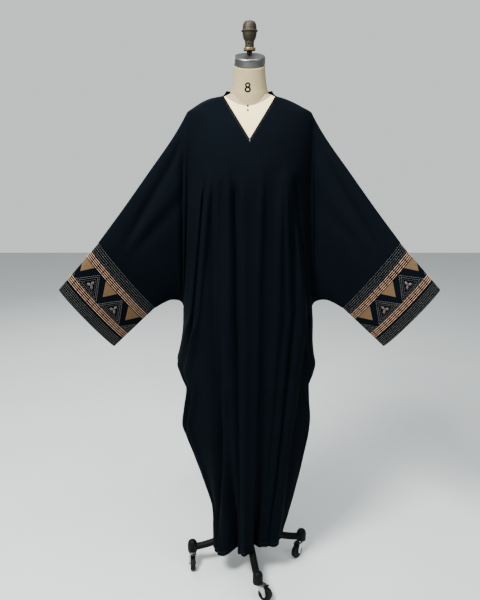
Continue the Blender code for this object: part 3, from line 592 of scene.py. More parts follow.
def crepe(name, cloth):
    """Matt black crepe: a fine pebbled weave, faint nap, softly uneven."""
    made = Finish(name)
    u, v, _ = made.split(made.flat("cut"))
    weave = ((u * 5200.0).sine() * (v * 4700.0).sine()) * 0.5 + 0.5
    pebble = made.noise(900.0, 3.0, rough=0.6)
    nap = made.noise(9.0, 4.0)
    slub = made.noise(60.0, 2.0)
    tone = (nap * 0.6 + slub * 0.25 + pebble * 0.35).clamped()
    base = made.blend(tone, tuple(cloth.crepe), tuple(cloth.crepe_light))
    weave_bump = made.bump(weave * 0.4 + pebble, 0.45, 0.0004)
    made.set(Base_Color=base, Roughness=0.74 + 0.16 * tone, Normal=made.bump(nap, 0.12, 0.004, weave_bump))
    made.set(Specular_IOR_Level=0.03, Specular_Tint=(0.45, 0.65, 1.0))
    made.set(Sheen_Weight=0.006, Sheen_Roughness=0.45, Sheen_Tint=(0.55, 0.62, 0.75))
    return made


def cuff_crepe(name, cloth, cuff):
    """The crepe of a cuff with satin-stitched gold triangles, laid out on the cut's own metres."""
    made = crepe(name, cloth)
    u, v, _ = made.split(made.flat("cut"))
    place = (u - (cuff.first - cuff.repeat / 2)) % cuff.repeat
    off = abs(place - cuff.repeat / 2)
    deep = cuff.gold_tip - cuff.gold_top
    reach = (v - cuff.gold_top) / deep
    edge = cuff.gold_half * (1 - reach) - off
    ragged = (made.noise(1400.0, 1.0) - 0.5) * 0.0009
    inside = (edge + ragged).above(0.0002, 0.0005) * v.above(cuff.gold_top, 0.0005)
    thread = ((v * 4200.0 + made.noise(35.0, 2.0) * 5.0).sine() * 0.5 + 0.5)
    cloudy = made.noise(120.0, 3.0)
    dark, light = (tuple(part * c for c in cuff.gold) for part in (0.62, 1.18))
    gold = made.blend((thread * 0.55 + cloudy * 0.5).clamped(), dark, light)
    made.set(
        Base_Color=made.blend(inside, made.fed("Base Color"), gold),
        Roughness=made.fed("Roughness") * (1 - inside) + inside * 0.46,
        Normal=made.bump(inside * (thread * 0.45 + 1.0), 0.7, 0.0006, made.fed("Normal")))
    return made


def thread(name, shade, rough=0.5, spread=0.3):
    """Twisted embroidery thread, uneven in tone from stitch to stitch."""
    made = Finish(name)
    cloudy = made.noise(170.0, 3.0)
    dark = tuple(c * (1 - spread) for c in shade)
    light = tuple(min(1.0, c * (1 + spread)) for c in shade)
    ply = made.noise(2600.0, 1.0)
    made.set(
        Base_Color=made.blend(((cloudy - 0.5) * 2.2 + 0.5).clamped(), dark, light),
        Roughness=(rough + (ply - 0.5) * 0.3).clamped(), Normal=made.bump(ply, 0.5, 0.0003),
        Sheen_Weight=0.15)
    return made


def linen(name, shade, turn=0.0, neck=None):
    """Tight natural linen cover with slubs; above a round line at the neck it takes the neck's colour."""
    made = Finish(name)
    x, y, z = made.split(made.here())
    warp = ((x + y * 0.6) * 4200.0).sine() * 0.5 + 0.5
    weft = (z * 4200.0).sine() * 0.5 + 0.5
    slub = made.noise(55.0, 4.0)
    soil = made.noise(11.0, 3.0)
    tone = (warp * 0.10 + weft * 0.10 + slub * 0.45 + soil * 0.35).clamped()
    dark = tuple(c * k for c, k in zip(shade, (0.80, 0.78, 0.74)))
    base = made.blend(tone, dark, tuple(min(1.0, c * 1.10) for c in shade))
    if neck:
        round_line = z - ((x - turn) / 0.055) ** 2 * 0.019
        top = made.blend(tone, tuple(c * 0.84 for c in neck), tuple(c * 1.08 for c in neck))
        base = made.blend(round_line.above(1.569, 0.0008), base, top)
    made.set(Base_Color=base, Roughness=0.86, Normal=made.bump(warp + weft + slub, 0.35, 0.0003))
    return made


def printed_neck(name, shade, turn, height):
    """The neck's linen with a plain figure eight printed on the front of it."""
    made = linen(name, shade)
    x, y, z = made.split(made.here())
    across = x - turn
    clear = 1.0
    for lift, wide, tall, thick in NUMERAL_RINGS:
        up = z - (NUMERAL_Z + lift * height)
        outer, inner = (((across / (wide - cut)) ** 2 + (up / (tall - cut)) ** 2) for cut in (0.0, thick))
        clear = clear * (1 - (1 - outer.above(1.0, 0.12)) * inner.above(1.0, 0.12))
    inked = (1 - clear) * (-y).above(0.0, 0.001)
    ink = (0.0015, 0.0013, 0.0010)
    made.set(Base_Color=made.blend(inked, made.fed("Base Color"), ink), Specular_IOR_Level=0.12)
    return made


def metal(name, shade, rough, scratch=0.12, metallic=1.0, brushed=0.0):
    """Handled metal: cloudy gloss and fine scratches."""
    made = Finish(name)
    cloudy = made.noise(38.0, 4.0)
    fine = made.noise(600.0, 2.0)
    _, _, z = made.split(made.here())
    hair = ((z + cloudy * 0.002) * 5200.0).sine() * 0.5 + 0.5
    dark = tuple(c * 0.72 for c in shade)
    light = tuple(min(1.0, c * 1.12) for c in shade)
    made.set(
        Base_Color=made.blend((cloudy * 1.3 - 0.15).clamped(), dark, light),
        Roughness=(rough + (cloudy - 0.5) * scratch + (hair - 0.5) * brushed).clamped(),
        Metallic=metallic, Normal=made.bump(fine + hair * brushed, 0.10, 0.0003))
    return made


def enamel(name, shade):
    """Black stoved enamel with a fine orange-peel surface and dust."""
    made = Finish(name)
    peel = made.noise(420.0, 2.0)
    dust = made.noise(30.0, 4.0)
    dusty = tuple(c * 2.2 + 0.001 for c in shade)
    made.set(
        Base_Color=made.blend((dust * 1.5 - 0.55).clamped() * 0.5, shade, dusty),
        Roughness=(0.42 + dust * 0.22).clamped(), Normal=made.bump(peel, 0.12, 0.0004),
        Specular_IOR_Level=0.08)
    return made


def rubber(name, shade):
    """Dull grained rubber with dust."""
    made = Finish(name)
    grain = made.noise(500.0, 3.0)
    dust = made.noise(45.0, 4.0)
    dusty = tuple(c * 2.0 + 0.0015 for c in shade)
    made.set(
        Base_Color=made.blend((dust * 1.6 - 0.5).clamped(), shade, dusty),
        Roughness=(0.58 + 0.2 * dust).clamped(), Normal=made.bump(grain, 0.25, 0.0004),
        Specular_IOR_Level=0.12)
    return made


# Shapes

def table(rows, at, column):
    """Smooth value of one column of a table, with no overshoot between its rows."""
    if at <= rows[0][0]:
        return rows[0][column]
    if at >= rows[-1][0]:
        return rows[-1][column]
    k = 0
    while rows[k + 1][0] < at:
        k += 1

    def slope(a, b):
        return (rows[b][column] - rows[a][column]) / (rows[b][0] - rows[a][0])

    def tangent(i):
        if i == 0:
            return slope(0, 1)
        if i == len(rows) - 1:
            return slope(i - 1, i)
        before = slope(i - 1, i)
        after = slope(i, i + 1)
        if before * after <= 0:
            return 0.0
        return 2 * before * after / (before + after)

    span = rows[k + 1][0] - rows[k][0]
    t = (at - rows[k][0]) / span
    return ((1 + 2 * t) * (1 - t) ** 2 * rows[k][column] + t * (1 - t) ** 2 * span * tangent(k)
            + t * t * (3 - 2 * t) * rows[k + 1][column] + t * t * (t - 1) * span * tangent(k + 1))


def ease(value, start, end):
    """0 up to the start and 1 from the end, with soft ends."""
    t = min(1.0, max(0.0, (value - start) / (end - start)))
    return t * t * (3 - 2 * t)


def bulge(up, power=0.6):
    """Share of a flattened tube's full thickness at a place across it."""
    return max(0.0, 4 * up * (1 - up)) ** power


def between(a, b, share):
    """Value part of the way from a to b."""
    return a + (b - a) * share


def beyond(x, limit, soft):
    """How far a place lies outside a distance from the middle, with a soft start."""
    return soft * math.log1p(math.exp(min((abs(x) - limit) / soft, 60.0)))


class Drape:
    """The garment's surface, worked out from its sizes and fold tables."""

    def __init__(self, cloth):
        self.cloth = cloth
        self.rows = {}
        for face, folds, creases in ((-1, FRONT_FOLDS, FRONT_CREASES), (1, BACK_FOLDS, BACK_CREASES)):
            self.rows[face] = [self.fold(row, row in creases) for row in folds + creases]
        self.levels = {}

    def fold(self, row, small):
        """One row's places, strengths and half width, and if it is a small crease and hangs straight."""
        places = list(zip(FOLD_ANGLE_HEIGHTS, row[:3]))
        strengths = list(zip(FOLD_OUT_HEIGHTS, row[3:7]))
        straight = abs(row[3]) < STRAIGHT_OUT and STRAIGHT_ANGLES[0] < row[0] < STRAIGHT_ANGLES[1]
        return places, strengths, row[7], small, straight

    def level(self, face, z):
        """Places, strengths and widths of the folds at one height."""
        key = (face, round(z, 5))
        if key not in self.levels:
            fall = CREASE_GAIN * (1 - ease(z, *CREASE_END))
            made = []
            for angles, strengths, half, small, straight in self.rows[face]:
                place, spread = self.hung(angles, z) if straight else (table(angles, z, 1), 1.0)
                made.append((place, table(strengths, z, 1) * (fall if small else 1.0), half * spread))
            self.levels[key] = made
        return self.levels[key]

    def hung(self, angles, z):
        """Place of a fold whose line, seen from the front, runs straight from the underarm to the hem."""
        (low, low_angle), (high, high_angle) = angles[:2]
        if z >= high:
            return table(angles, z, 1), 1.0
        side = 1 if high_angle < 90 else -1
        t = max(0.0, (z - low) / (high - low))
        wide = self.half_width(side, z)
        low_wide, high_wide = (self.half_width(side, level) for level in (low, high))
        low_x = low_wide * math.cos(math.radians(low_angle))
        x = between(low_x, high_wide * math.cos(math.radians(high_angle)), t)
        return math.degrees(math.acos(max(-1.0, min(1.0, x / wide)))), between(low_wide, high_wide, t) / wide

    def out(self, face, degrees, z):
        """How far the folds push the cloth out at one place."""
        if z >= FOLD_END_Z:
            return 0.0
        total = 0.0
        for place, strength, half in self.level(face, z):
            apart = (degrees - place) / half
            if abs(apart) < 3:
                total += strength * math.exp(-apart * apart * FOLD_STEEPNESS)
        fade = 1 - ease(z, FOLD_ANGLE_HEIGHTS[2], FOLD_END_Z)
        return total * fade * ease(degrees, 0.0, SEAM_CALM) * ease(180.0 - degrees, 0.0, SEAM_CALM)

    def sweep(self, x):
        """How far the seam plane has come forward at a distance from the middle."""
        return -self.cloth.sweep * beyond(x, self.cloth.sweep_from, SWEEP_SOFT)

    def setback(self, side, x, z):
        """How far the cloth beside a side seam falls back behind the front fold."""
        steep = table(SETBACK_ROWS, z, 2 if side > 0 else 1)
        return steep * beyond(x, self.cloth.setback_from, SETBACK_SOFT)

    def half_width(self, side, z):
        """Half width of the body on one side at one height."""
        return table(SECTION_ROWS, z, 2 if side > 0 else 1)

    def lower(self, side, face, degrees, z):
        """Point between the hem and the underarm row."""
        a = math.radians(degrees)
        wide = self.half_width(side, z)
        deep = table(SECTION_ROWS, z, 4 if face < 0 else 5)
        sharp = table(SECTION_ROWS, z, 3)
        out = self.out(face, degrees, z)
        s = max(0.0, math.sin(a))
        x = wide * math.cos(a) + out * math.cos(a) * (1 - ease(z, WIDE_UNTIL, self.cloth.underarm))
        away = deep * s ** sharp + out * s ** 0.5
        back = self.sweep(x) * ease(z, SWEEP_ABOVE, self.cloth.underarm) + self.setback(side, x, z)
        return x, back + face * away, z

    def body(self, side, face, x, z):
        """Distance of the body's cloth from the seam plane above the underarm row."""
        wide = self.half_width(side, z)
        deep = table(SECTION_ROWS, z, 4 if face < 0 else 5)
        share = min(1.0, abs(x) / wide)
        degrees = math.degrees(math.acos(share))
        if side < 0:
            degrees = 180 - degrees
        round_part = math.sqrt(max(0.0, 1 - share * share))
        away = deep * round_part + self.out(face, degrees, z) * round_part ** 0.5
        return max(away, self.over_form(face, x, z))

    def over_form(self, face, x, z):
        """Least distance from the seam plane that keeps the cloth clear of the dress form."""
        share = abs(x) / table(TORSO_ROWS, z, 1)
        if share >= 1 or not FORM_REACH[0] < z < FORM_REACH[1]:
            return 0.0
        return table(TORSO_ROWS, z, 2 if face < 0 else 3) * math.sqrt(1 - share * share) + FORM_CLEARANCE

    def lens(self, share, up, side):
        """Distance of the sleeve's cloth from the seam plane."""
        thick = between(self.cloth.sleeve_thick, self.cloth.cuff_thick, share)
        span = ease(share, *SLEEVE_FOLDS_START) * (1 - ease(share, *SLEEVE_FOLDS_END))
        folds = 0.0
        for depth, place, fall, wide, right in SLEEVE_FOLDS:
            strength = depth * (right if side > 0 else 1.0)
            folds += strength * math.exp(-((up - place + fall * share) / wide) ** 2)
        deep, place, wide = SLEEVE_TROUGH
        trough = 1 - deep * math.exp(-((share - place) / wide) ** 2) * (1 - ease(up, *TROUGH_END))
        return max(0.0, (thick - folds * span) * trough * bulge(up))

    def upper(self, side, face, column, v, counts):
        """Point between the underarm row (v = 0) and the neck, shoulder or overarm (v = 1)."""
        c = self.cloth
        body_columns, neck_columns, sleeve_columns = counts
        share = max(0.0, (column - body_columns) / sleeve_columns)
        if column <= body_columns:
            degrees = 90.0 - 90.0 * column / body_columns
            low = (self.half_width(side, c.underarm) * math.cos(math.radians(degrees)), c.underarm)
            if column <= neck_columns:
                up_edge = math.sin(math.pi / 2 * column / neck_columns)
                top = (c.neck_half * up_edge,
                       between(c.v_tip, c.neck_height, up_edge) if face < 0 else c.neck_height)
            else:
                along = (column - neck_columns) / (body_columns - neck_columns)
                rounding = SHOULDER_ROUND[side] * math.sin(math.pi * along)
                top = (between(c.neck_half, c.shoulder_x, along),
                       between(c.neck_height, c.shoulder_z, along) + rounding)
            lens_on = ease(column / body_columns, SLEEVE_START, 1.0)
            if v == 0:
                return self.lower(side, face, degrees if side > 0 else 180 - degrees, c.underarm)
        else:
            low_x = table(UNDERARM_ROWS, share, 1)
            if share < UNDERARM_BLEND:
                step = self.half_width(side, c.underarm) - UNDERARM_ROWS[0][1]
                low_x += step * (1 - share / UNDERARM_BLEND)
            low = (low_x, table(UNDERARM_ROWS, share, 2))
            top = (table(OVERARM_ROWS, share, 1), table(OVERARM_ROWS, share, 2))
            lens_on = 1.0
        x, z = (between(a, b, v) for a, b in zip(low, top))
        neck_edge = column < neck_columns or (column == neck_columns and face > 0)
        away = 0.0
        if v < 1 or neck_edge:
            body = self.body(side, face, x, z) if z < c.neck_height + 1e-6 and share < BODY_END else 0.0
            sleeve = self.lens(share, v, side) * lens_on
            away = (body ** MERGE_POWER + sleeve ** MERGE_POWER) ** (1 / MERGE_POWER)
        return side * x, self.sweep(x) + face * away, z

    def cuff(self, side, around, along, lift=0.0):
        """Point of a cuff: around from 0 at the overarm edge down the front, along from seam to hem."""
        around %= 1.0
        face = -1 if around < 0.5 else 1
        up = 1 - 2 * around if around < 0.5 else 2 * around - 1
        top, low = ([between(a, b, along) for a, b in zip(*edge)] for edge in (CUFF_TOP, CUFF_BOTTOM))
        x, z = (between(a, b, up) for a, b in zip(low, top))
        lens = self.cloth.cuff_thick * bulge(up)
        rim = 1.0 - bulge(up, 0.25)
        reach = lift * rim * (2 * up - 1)
        x += reach * CUFF_ACROSS[0]
        z += reach * CUFF_ACROSS[1]
        return Vector((side * x, self.sweep(x) + face * (lens + lift * (1 - rim)), z))


def placed(name, data):
    """An object in the scene that holds the data."""
    made = bpy.data.objects.new(name, data)
    bpy.context.scene.collection.objects.link(made)
    return made


def drawn(name, points, pairs, faces):
    """An object of points with the edges or faces between them."""
    data = bpy.data.meshes.new(name)
    data.from_pydata([tuple(p) for p in points], pairs, faces)
    return placed(name, data)


def mesh_piece(name, points, faces, finish, body=BODY):
    """A smooth piece with its finish, riding on a body."""
    made = drawn(name, points, [], faces)
    made.data.update()
    made.data.materials.append(finish.material)
    for polygon in made.data.polygons:
        polygon.use_smooth = True
    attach(made, body)
    return made


def ring_faces(count, rings, base=0):
    """Quads between rings of points that close on themselves."""
    faces = []
    for start in range(base, base + (rings - 1) * count, count):
        for step in range(count):
            k = start + step
            n = start + (step + 1) % count
            faces.append((k, n, n + count, k + count))
    return faces


def prism(outline, low, high, upright=True):
    """Points and faces of a plate between two places in y, or in z where it lies level."""
    count = len(outline)
    points = [(a, at, b) if upright else (a, b, at) for at in (low, high) for a, b in outline]
    near = tuple(range(count))
    far = tuple(range(count, 2 * count))
    faces = [near, far[::-1]] if upright else [near[::-1], far]
    faces += [(k, (k + 1) % count, count + (k + 1) % count, count + k) for k in range(count)]
    return points, faces


def write_uv(made, places):
    """Writes the piece's flat places, in metres, as its map."""
    layer = made.data.uv_layers.new(name="cut")
    for loop in made.data.loops:
        layer.data[loop.index].uv = places[loop.vertex_index]


def settle(made):
    """Replaces the object's mesh by what its modifiers give."""
    graph = bpy.context.evaluated_depsgraph_get()
    graph.update()
    data = bpy.data.meshes.new_from_object(made.evaluated_get(graph))
    made.modifiers.clear()
    made.data = data


def thicken(made, wall):
    """Gives a cloth its wall, outwards, and keeps the wall's corners sharp."""
    skin = made.modifiers.new("wall", "SOLIDIFY")
    skin.thickness = wall
    skin.offset = 1.0
    skin.use_rim = True
    settle(made)
    edges(made, math.radians(50))


def tidy_mesh(made, distance=0.00002, outwards=True):
    """Merges doubled points and turns the faces outwards."""
    shape = bmesh.new()
    shape.from_mesh(made.data)
    bmesh.ops.remove_doubles(shape, verts=shape.verts, dist=distance)
    if outwards:
        bmesh.ops.recalc_face_normals(shape, faces=shape.faces)
    shape.to_mesh(made.data)
    shape.free()


def laid_down(x, y, z, slant=math.radians(90.0)):
    """Move that lays an upright turned piece over towards the front and takes it to its place."""
    return Matrix.Translation((x, y, z)) @ Matrix.Rotation(slant, 4, "X")


def turned(name, profile, finish, body, steps=64, move=None):
    """Solid turned about the vertical from a profile of radius and height, then moved."""
    pairs = [(k, k + 1) for k in range(len(profile) - 1)]
    made = drawn(name, [(radius, 0.0, z) for radius, z in profile], pairs, [])
    screw = made.modifiers.new("turn", "SCREW")
    screw.axis = "Z"
    screw.steps = steps
    screw.render_steps = steps
    screw.use_merge_vertices = True
    screw.merge_threshold = 0.00005
    screw.use_smooth_shade = True
    settle(made)
    tidy_mesh(made)
    if move is not None:
        made.data.transform(move)
    tidy_mesh(made)
    made.data.materials.clear()
    made.data.materials.append(finish.material)
    edges(made)
    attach(made, body)
    return made


def edges(made, angle=math.radians(32)):
    """Smooth shading that keeps sharp corners sharp."""
    for polygon in made.data.polygons:
        polygon.use_smooth = True
    shape = bmesh.new()
    shape.from_mesh(made.data)
    for edge in shape.edges:
        edge.smooth = len(edge.link_faces) != 2 or edge.calc_face_angle(0.0) < angle
    shape.to_mesh(made.data)
    shape.free()


def rod(node, radius):
    """Profile of a round bar as tall as a node of the frame."""
    low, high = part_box(node)
    return [(0.0, high[2]), (radius, high[2]), (radius, low[2]), (0.0, low[2])]


def mirrored(profile):
    """Profile followed by its own mirror image below."""
    return profile + [(radius, -height) for radius, height in reversed(profile)]


def rounded(profile, radius, steps=3):
    """Profile with its inner corners rounded."""
    made = [profile[0]]
    for before, at, after in zip(profile, profile[1:], profile[2:]):
        a = Vector(before) - Vector(at)
        b = Vector(after) - Vector(at)
        cut = min(radius, a.length * 0.45, b.length * 0.45)
        a.normalize()
        b.normalize()
        for k in range(steps + 1):
            t = k / steps
            p = Vector(at) + a * cut * (1 - t) ** 2 + b * cut * t ** 2
            made.append((max(0.0, p.x), p.y))
    made.append(profile[-1])
    return made


# Stitches and cords, by Geometry Nodes

STITCHES = "stitches_on_a_line"
CORDS = "cords_on_a_line"


def thread_tree(name, sizes):
    """A tree for guide edges: the tree, its inputs, its curve, and the step that takes the threads."""
    tree = bpy.data.node_groups.new(name, "GeometryNodeTree")
    face = tree.interface
    face.new_socket("Geometry", in_out="INPUT", socket_type="NodeSocketGeometry")
    for label, value in sizes:
        face.new_socket(label, in_out="INPUT", socket_type="NodeSocketFloat").default_value = value
    face.new_socket("Thread", in_out="INPUT", socket_type="NodeSocketMaterial")
    face.new_socket("Geometry", in_out="OUTPUT", socket_type="NodeSocketGeometry")
    nodes = tree.nodes
    link = tree.links.new
    start = nodes.new("NodeGroupInput")
    end = nodes.new("NodeGroupOutput")
    curve = nodes.new("GeometryNodeMeshToCurve")
    real = nodes.new("GeometryNodeRealizeInstances")
    shade = nodes.new("GeometryNodeSetShadeSmooth")
    dye = nodes.new("GeometryNodeSetMaterial")
    link(start.outputs["Geometry"], curve.inputs["Mesh"])
    link(real.outputs["Geometry"], shade.inputs["Geometry"])
    link(shade.outputs[0], dye.inputs["Geometry"])
    link(start.outputs["Thread"], dye.inputs["Material"])
    link(dye.outputs["Geometry"], end.inputs[0])
    return tree, start, curve, real


def stitch_shape(tree):
    """A short barrel that slims towards its ends, one long and one thick."""
    nodes = tree.nodes
    link = tree.links.new
    barrel = nodes.new("GeometryNodeMeshCylinder")
    barrel.inputs["Vertices"].default_value = 6
    barrel.inputs["Side Segments"].default_value = 3
    barrel.inputs["Radius"].default_value = 1.0
    barrel.inputs["Depth"].default_value = 2.0
    spot = nodes.new("GeometryNodeInputPosition")
    axes = nodes.new("ShaderNodeSeparateXYZ")
    end_on = nodes.new("ShaderNodeMath")
    end_on.operation = "ABSOLUTE"
    slim = nodes.new("ShaderNodeMapRange")
    slim.inputs["From Min"].default_value = 0.5
    slim.inputs["To Min"].default_value = 1.0
    slim.inputs["To Max"].default_value = 0.5
    across = nodes.new("ShaderNodeCombineXYZ")
    across.inputs[2].default_value = 1.0
    taper = nodes.new("ShaderNodeVectorMath")
    taper.operation = "MULTIPLY"
    shape = nodes.new("GeometryNodeSetPosition")
    link(spot.outputs[0], axes.inputs[0])
    link(axes.outputs[2], end_on.inputs[0])
    link(end_on.outputs[0], slim.inputs["Value"])
    for k in (0, 1):
        link(slim.outputs[0], across.inputs[k])
    link(spot.outputs[0], taper.inputs[0])
    link(across.outputs[0], taper.inputs[1])
    link(barrel.outputs["Mesh"], shape.inputs["Geometry"])
    link(taper.outputs[0], shape.inputs["Position"])
    return shape


def stitch_tree():
    """Lays short stitches along the edges of a guide mesh."""
    tree, start, curve, real = thread_tree(
        STITCHES, (("Spacing", 0.001), ("Stitch length", 0.0005), ("Thread radius", 0.0001)))
    nodes = tree.nodes
    link = tree.links.new
    even = nodes.new("GeometryNodeResampleCurve")
    even.mode = "LENGTH"
    lay = nodes.new("GeometryNodeInstanceOnPoints")
    tangent = nodes.new("GeometryNodeInputTangent")
    turn = nodes.new("FunctionNodeAlignRotationToVector")
    turn.axis = "Z"
    size = nodes.new("ShaderNodeCombineXYZ")
    half = nodes.new("ShaderNodeMath")
    half.operation = "MULTIPLY"
    half.inputs[1].default_value = 0.5
    link(curve.outputs["Curve"], even.inputs["Curve"])
    link(start.outputs["Spacing"], even.inputs["Length"])
    link(even.outputs["Curve"], lay.inputs["Points"])
    link(stitch_shape(tree).outputs[0], lay.inputs["Instance"])
    link(tangent.outputs[0], turn.inputs["Vector"])
    link(turn.outputs[0], lay.inputs["Rotation"])
    link(start.outputs["Stitch length"], half.inputs[0])
    for k in (0, 1):
        link(start.outputs["Thread radius"], size.inputs[k])
    link(half.outputs[0], size.inputs[2])
    link(size.outputs[0], lay.inputs["Scale"])
    link(lay.outputs["Instances"], real.inputs["Geometry"])
    return tree


def cord_tree():
    """Lays a round cord along the edges of a guide mesh."""
    tree, start, curve, real = thread_tree(CORDS, (("Thread radius", 0.0005),))
    link = tree.links.new
    section = tree.nodes.new("GeometryNodeCurvePrimitiveCircle")
    section.inputs["Resolution"].default_value = 7
    skin = tree.nodes.new("GeometryNodeCurveToMesh")
    skin.inputs["Fill Caps"].default_value = True
    link(start.outputs["Thread radius"], section.inputs["Radius"])
    link(curve.outputs["Curve"], skin.inputs["Curve"])
    link(section.outputs["Curve"], skin.inputs["Profile Curve"])
    link(skin.outputs["Mesh"], real.inputs["Geometry"])
    return tree


def along_lines(name, lines, tree, values, slot):
    """Runs a thread tree over polylines; a line whose last point is its first closes."""
    points = []
    pairs = []
    for line in lines:
        base = len(points)
        points.extend(line)
        pairs.extend((base + k, base + k + 1) for k in range(len(line) - 1))
    made = drawn(name, points, pairs, [])
    step = made.modifiers.new("thread", "NODES")
    step.node_group = tree
    for item in tree.interface.items_tree:
        if item.in_out == "INPUT" and item.name in values:
            step[item.identifier] = values[item.name]
    settle(made)
    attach(made, BODY)
    return made


def stitched(name, lines, spacing, length, radius, finish, slot):
    """Rows of short stitches."""
    tree = bpy.data.node_groups.get(STITCHES) or stitch_tree()
    values = {"Spacing": spacing, "Stitch length": length, "Thread radius": radius, "Thread": finish.material}
    return along_lines(name, lines, tree, values, slot)


def laid(name, lines, radius, finish, slot):
    """Threads or cords that lie along their lines."""
    tree = bpy.data.node_groups.get(CORDS) or cord_tree()
    made = along_lines(name, lines, tree, {"Thread radius": radius, "Thread": finish.material}, slot)
    tidy_mesh(made)
    edges(made, math.radians(60))
    return made


# Operators

class ABAYA_OT_panels(bpy.types.Operator):
    """Fronts, back and back neckband of black crepe"""
    bl_idname = "abaya.panels"
    bl_label = "Panels"

    body_columns = 64
    neck_columns = 28
    sleeve_columns = 34
    lower_rows = 130
    upper_rows = 70
    upper_crowding = 1.9
    band_overlap = 0.0004
    band_radius = 0.07

    def degrees(self, side, column):
        """Angle of a column round the section."""
        degrees = 90.0 - 90.0 * column / self.body_columns
        return degrees if side > 0 else 180 - degrees

    def lower_rows_of(self, drape, side, face, points):
        """Rows of point numbers from the hem up to the underarm."""
        c = drape.cloth
        rows = []
        for step in range(self.lower_rows + 1):
            t = step / self.lower_rows
            row = []
            for column in range(self.body_columns + 1):
                degrees = self.degrees(side, column)
                rise = table(HEM_RISE_ROWS, degrees, 1 if face < 0 else 2) * (1 - ease(t, 0.0, HEM_FADE))
                z = c.hem + (c.underarm - c.hem) * t + rise
                row.append(len(points))
                points.append(drape.lower(side, face, degrees, min(z, c.underarm)))
            rows.append(row)
        return rows

    def upper_rows_of(self, drape, side, face, points, underarm_row):
        """Rows from the underarm, here with the sleeve's columns, up to the neck and the overarm."""
        counts = (self.body_columns, self.neck_columns, self.sleeve_columns)
        rows = []
        for step in range(self.upper_rows + 1):
            t = step / self.upper_rows
            v = 1 - (1 - t) ** self.upper_crowding if t < 1 else 1.0
            row = [] if rows else list(underarm_row)
            for column in range(len(row), self.body_columns + self.sleeve_columns + 1):
                row.append(len(points))
                points.append(drape.upper(side, face, column, v, counts))
            rows.append(row)
        return rows

    def panel(self, drape, side, face):
        """Points and quads of one half panel, columns running out from the middle."""
        points = []
        lower = self.lower_rows_of(drape, side, face, points)
        upper = self.upper_rows_of(drape, side, face, points, lower[-1])
        faces = []
        for grid in (lower, upper):
            for below, above in zip(grid, grid[1:]):
                for k in range(len(below) - 1):
                    quad = (below[k], below[k + 1], above[k + 1], above[k])
                    faces.append(quad[::-1] if side * face > 0 else quad)
        return points, faces

    def finished(self, piece, name, wall):
        """Gives a cut its wall and puts it in its solid's place."""
        thicken(piece, wall)
        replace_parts(piece, name)
        return piece

    def back(self, drape, black):
        """The back panel: both halves, merged down the middle."""
        right, right_faces = self.panel(drape, 1, 1)
        left, left_faces = self.panel(drape, -1, 1)
        faces = right_faces + [tuple(len(right) + k for k in face) for face in left_faces]
        piece = mesh_piece("back_panel_cloth", right + left, faces, black)
        tidy_mesh(piece, outwards=False)
        write_uv(piece, [(v.co.x, v.co.z) for v in piece.data.vertices])
        return self.finished(piece, "back_panel", drape.cloth.wall)

    def neckband(self, cloth, black):
        """The short band that stands up behind the neck."""
        steps = 64
        levels = 6
        low = cloth.neck_height - self.band_overlap
        points = []
        for level in range(levels + 1):
            z = low + (cloth.band_top - low) * level / levels
            wide = table(SECTION_ROWS, z, 1)
            deep = table(SECTION_ROWS, z, 5)
            for step in range(steps + 1):
                a = math.pi * (step / steps)
                points.append((wide * math.cos(a), deep * math.sin(a), z))
        faces = [(k, k + 1, k + steps + 2, k + steps + 1)
                 for level in range(levels) for k in range(level * (steps + 1), level * (steps + 1) + steps)]
        band = mesh_piece("back_neckband_cloth", points, faces, black)
        write_uv(band, [(math.atan2(p[1], p[0]) * self.band_radius, p[2]) for p in points])
        self.finished(band, "back_neckband", cloth.wall)

    def execute(self, context):
        cloth = context.scene.abaya_cloth
        drape = Drape(cloth)
        black = crepe("black crepe", cloth)
        for name, side in (("front_panel_left", -1), ("front_panel_right", 1)):
            points, faces = self.panel(drape, side, -1)
            piece = mesh_piece(name + "_cloth", points, faces, black)
            write_uv(piece, [(p[0], p[2]) for p in points])
            self.finished(piece, name, cloth.wall)
        self.back(drape, black)
        self.neckband(cloth, black)
        return {"FINISHED"}


class ABAYA_OT_cuffs(bpy.types.Operator):
    """The two cuff bands with their satin-stitched triangles"""
    bl_idname = "abaya.cuffs"
    bl_label = "Cuffs"

    def execute(self, context):
        cloth = context.scene.abaya_cloth
        cuff = context.scene.abaya_cuff
        drape = Drape(cloth)
        finish = cuff_crepe("patterned cuff crepe", cloth, cuff)
        count = 160
        levels = 40
        for name, side in (("cuff_left", -1), ("cuff_right", 1)):
            points = []
            places = []
            for level in range(levels + 1):
                along = level / levels
                for step in range(count):
                    up = 0.5 + 0.5 * math.cos(2 * math.pi * step / count)
                    around = (1 - up) / 2 if step <= count / 2 else (1 + up) / 2
                    points.append(drape.cuff(side, around, along))
                    places.append((around * CUFF_GIRTH, along * CUFF_DEPTH))
            faces = [quad if side < 0 else quad[::-1] for quad in ring_faces(count, levels + 1)]
            piece = mesh_piece(name + "_cloth", points, faces, finish)
            self.write_cut(piece, places)
            thicken(piece, cloth.wall)
            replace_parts(piece, name)
        return {"FINISHED"}

    def write_cut(self, piece, places):
        """Lays the cuff out flat; the quads that close it run on past its girth instead of back to 0."""
        layer = piece.data.uv_layers.new(name="cut")
        for polygon in piece.data.polygons:
            last = any(places[v][0] > CUT_END for v in polygon.vertices)
            for loop in polygon.loop_indices:
                u, v = places[piece.data.loops[loop].vertex_index]
                layer.data[loop].uv = (u + CUFF_GIRTH if last and u < CUT_START else u, v)


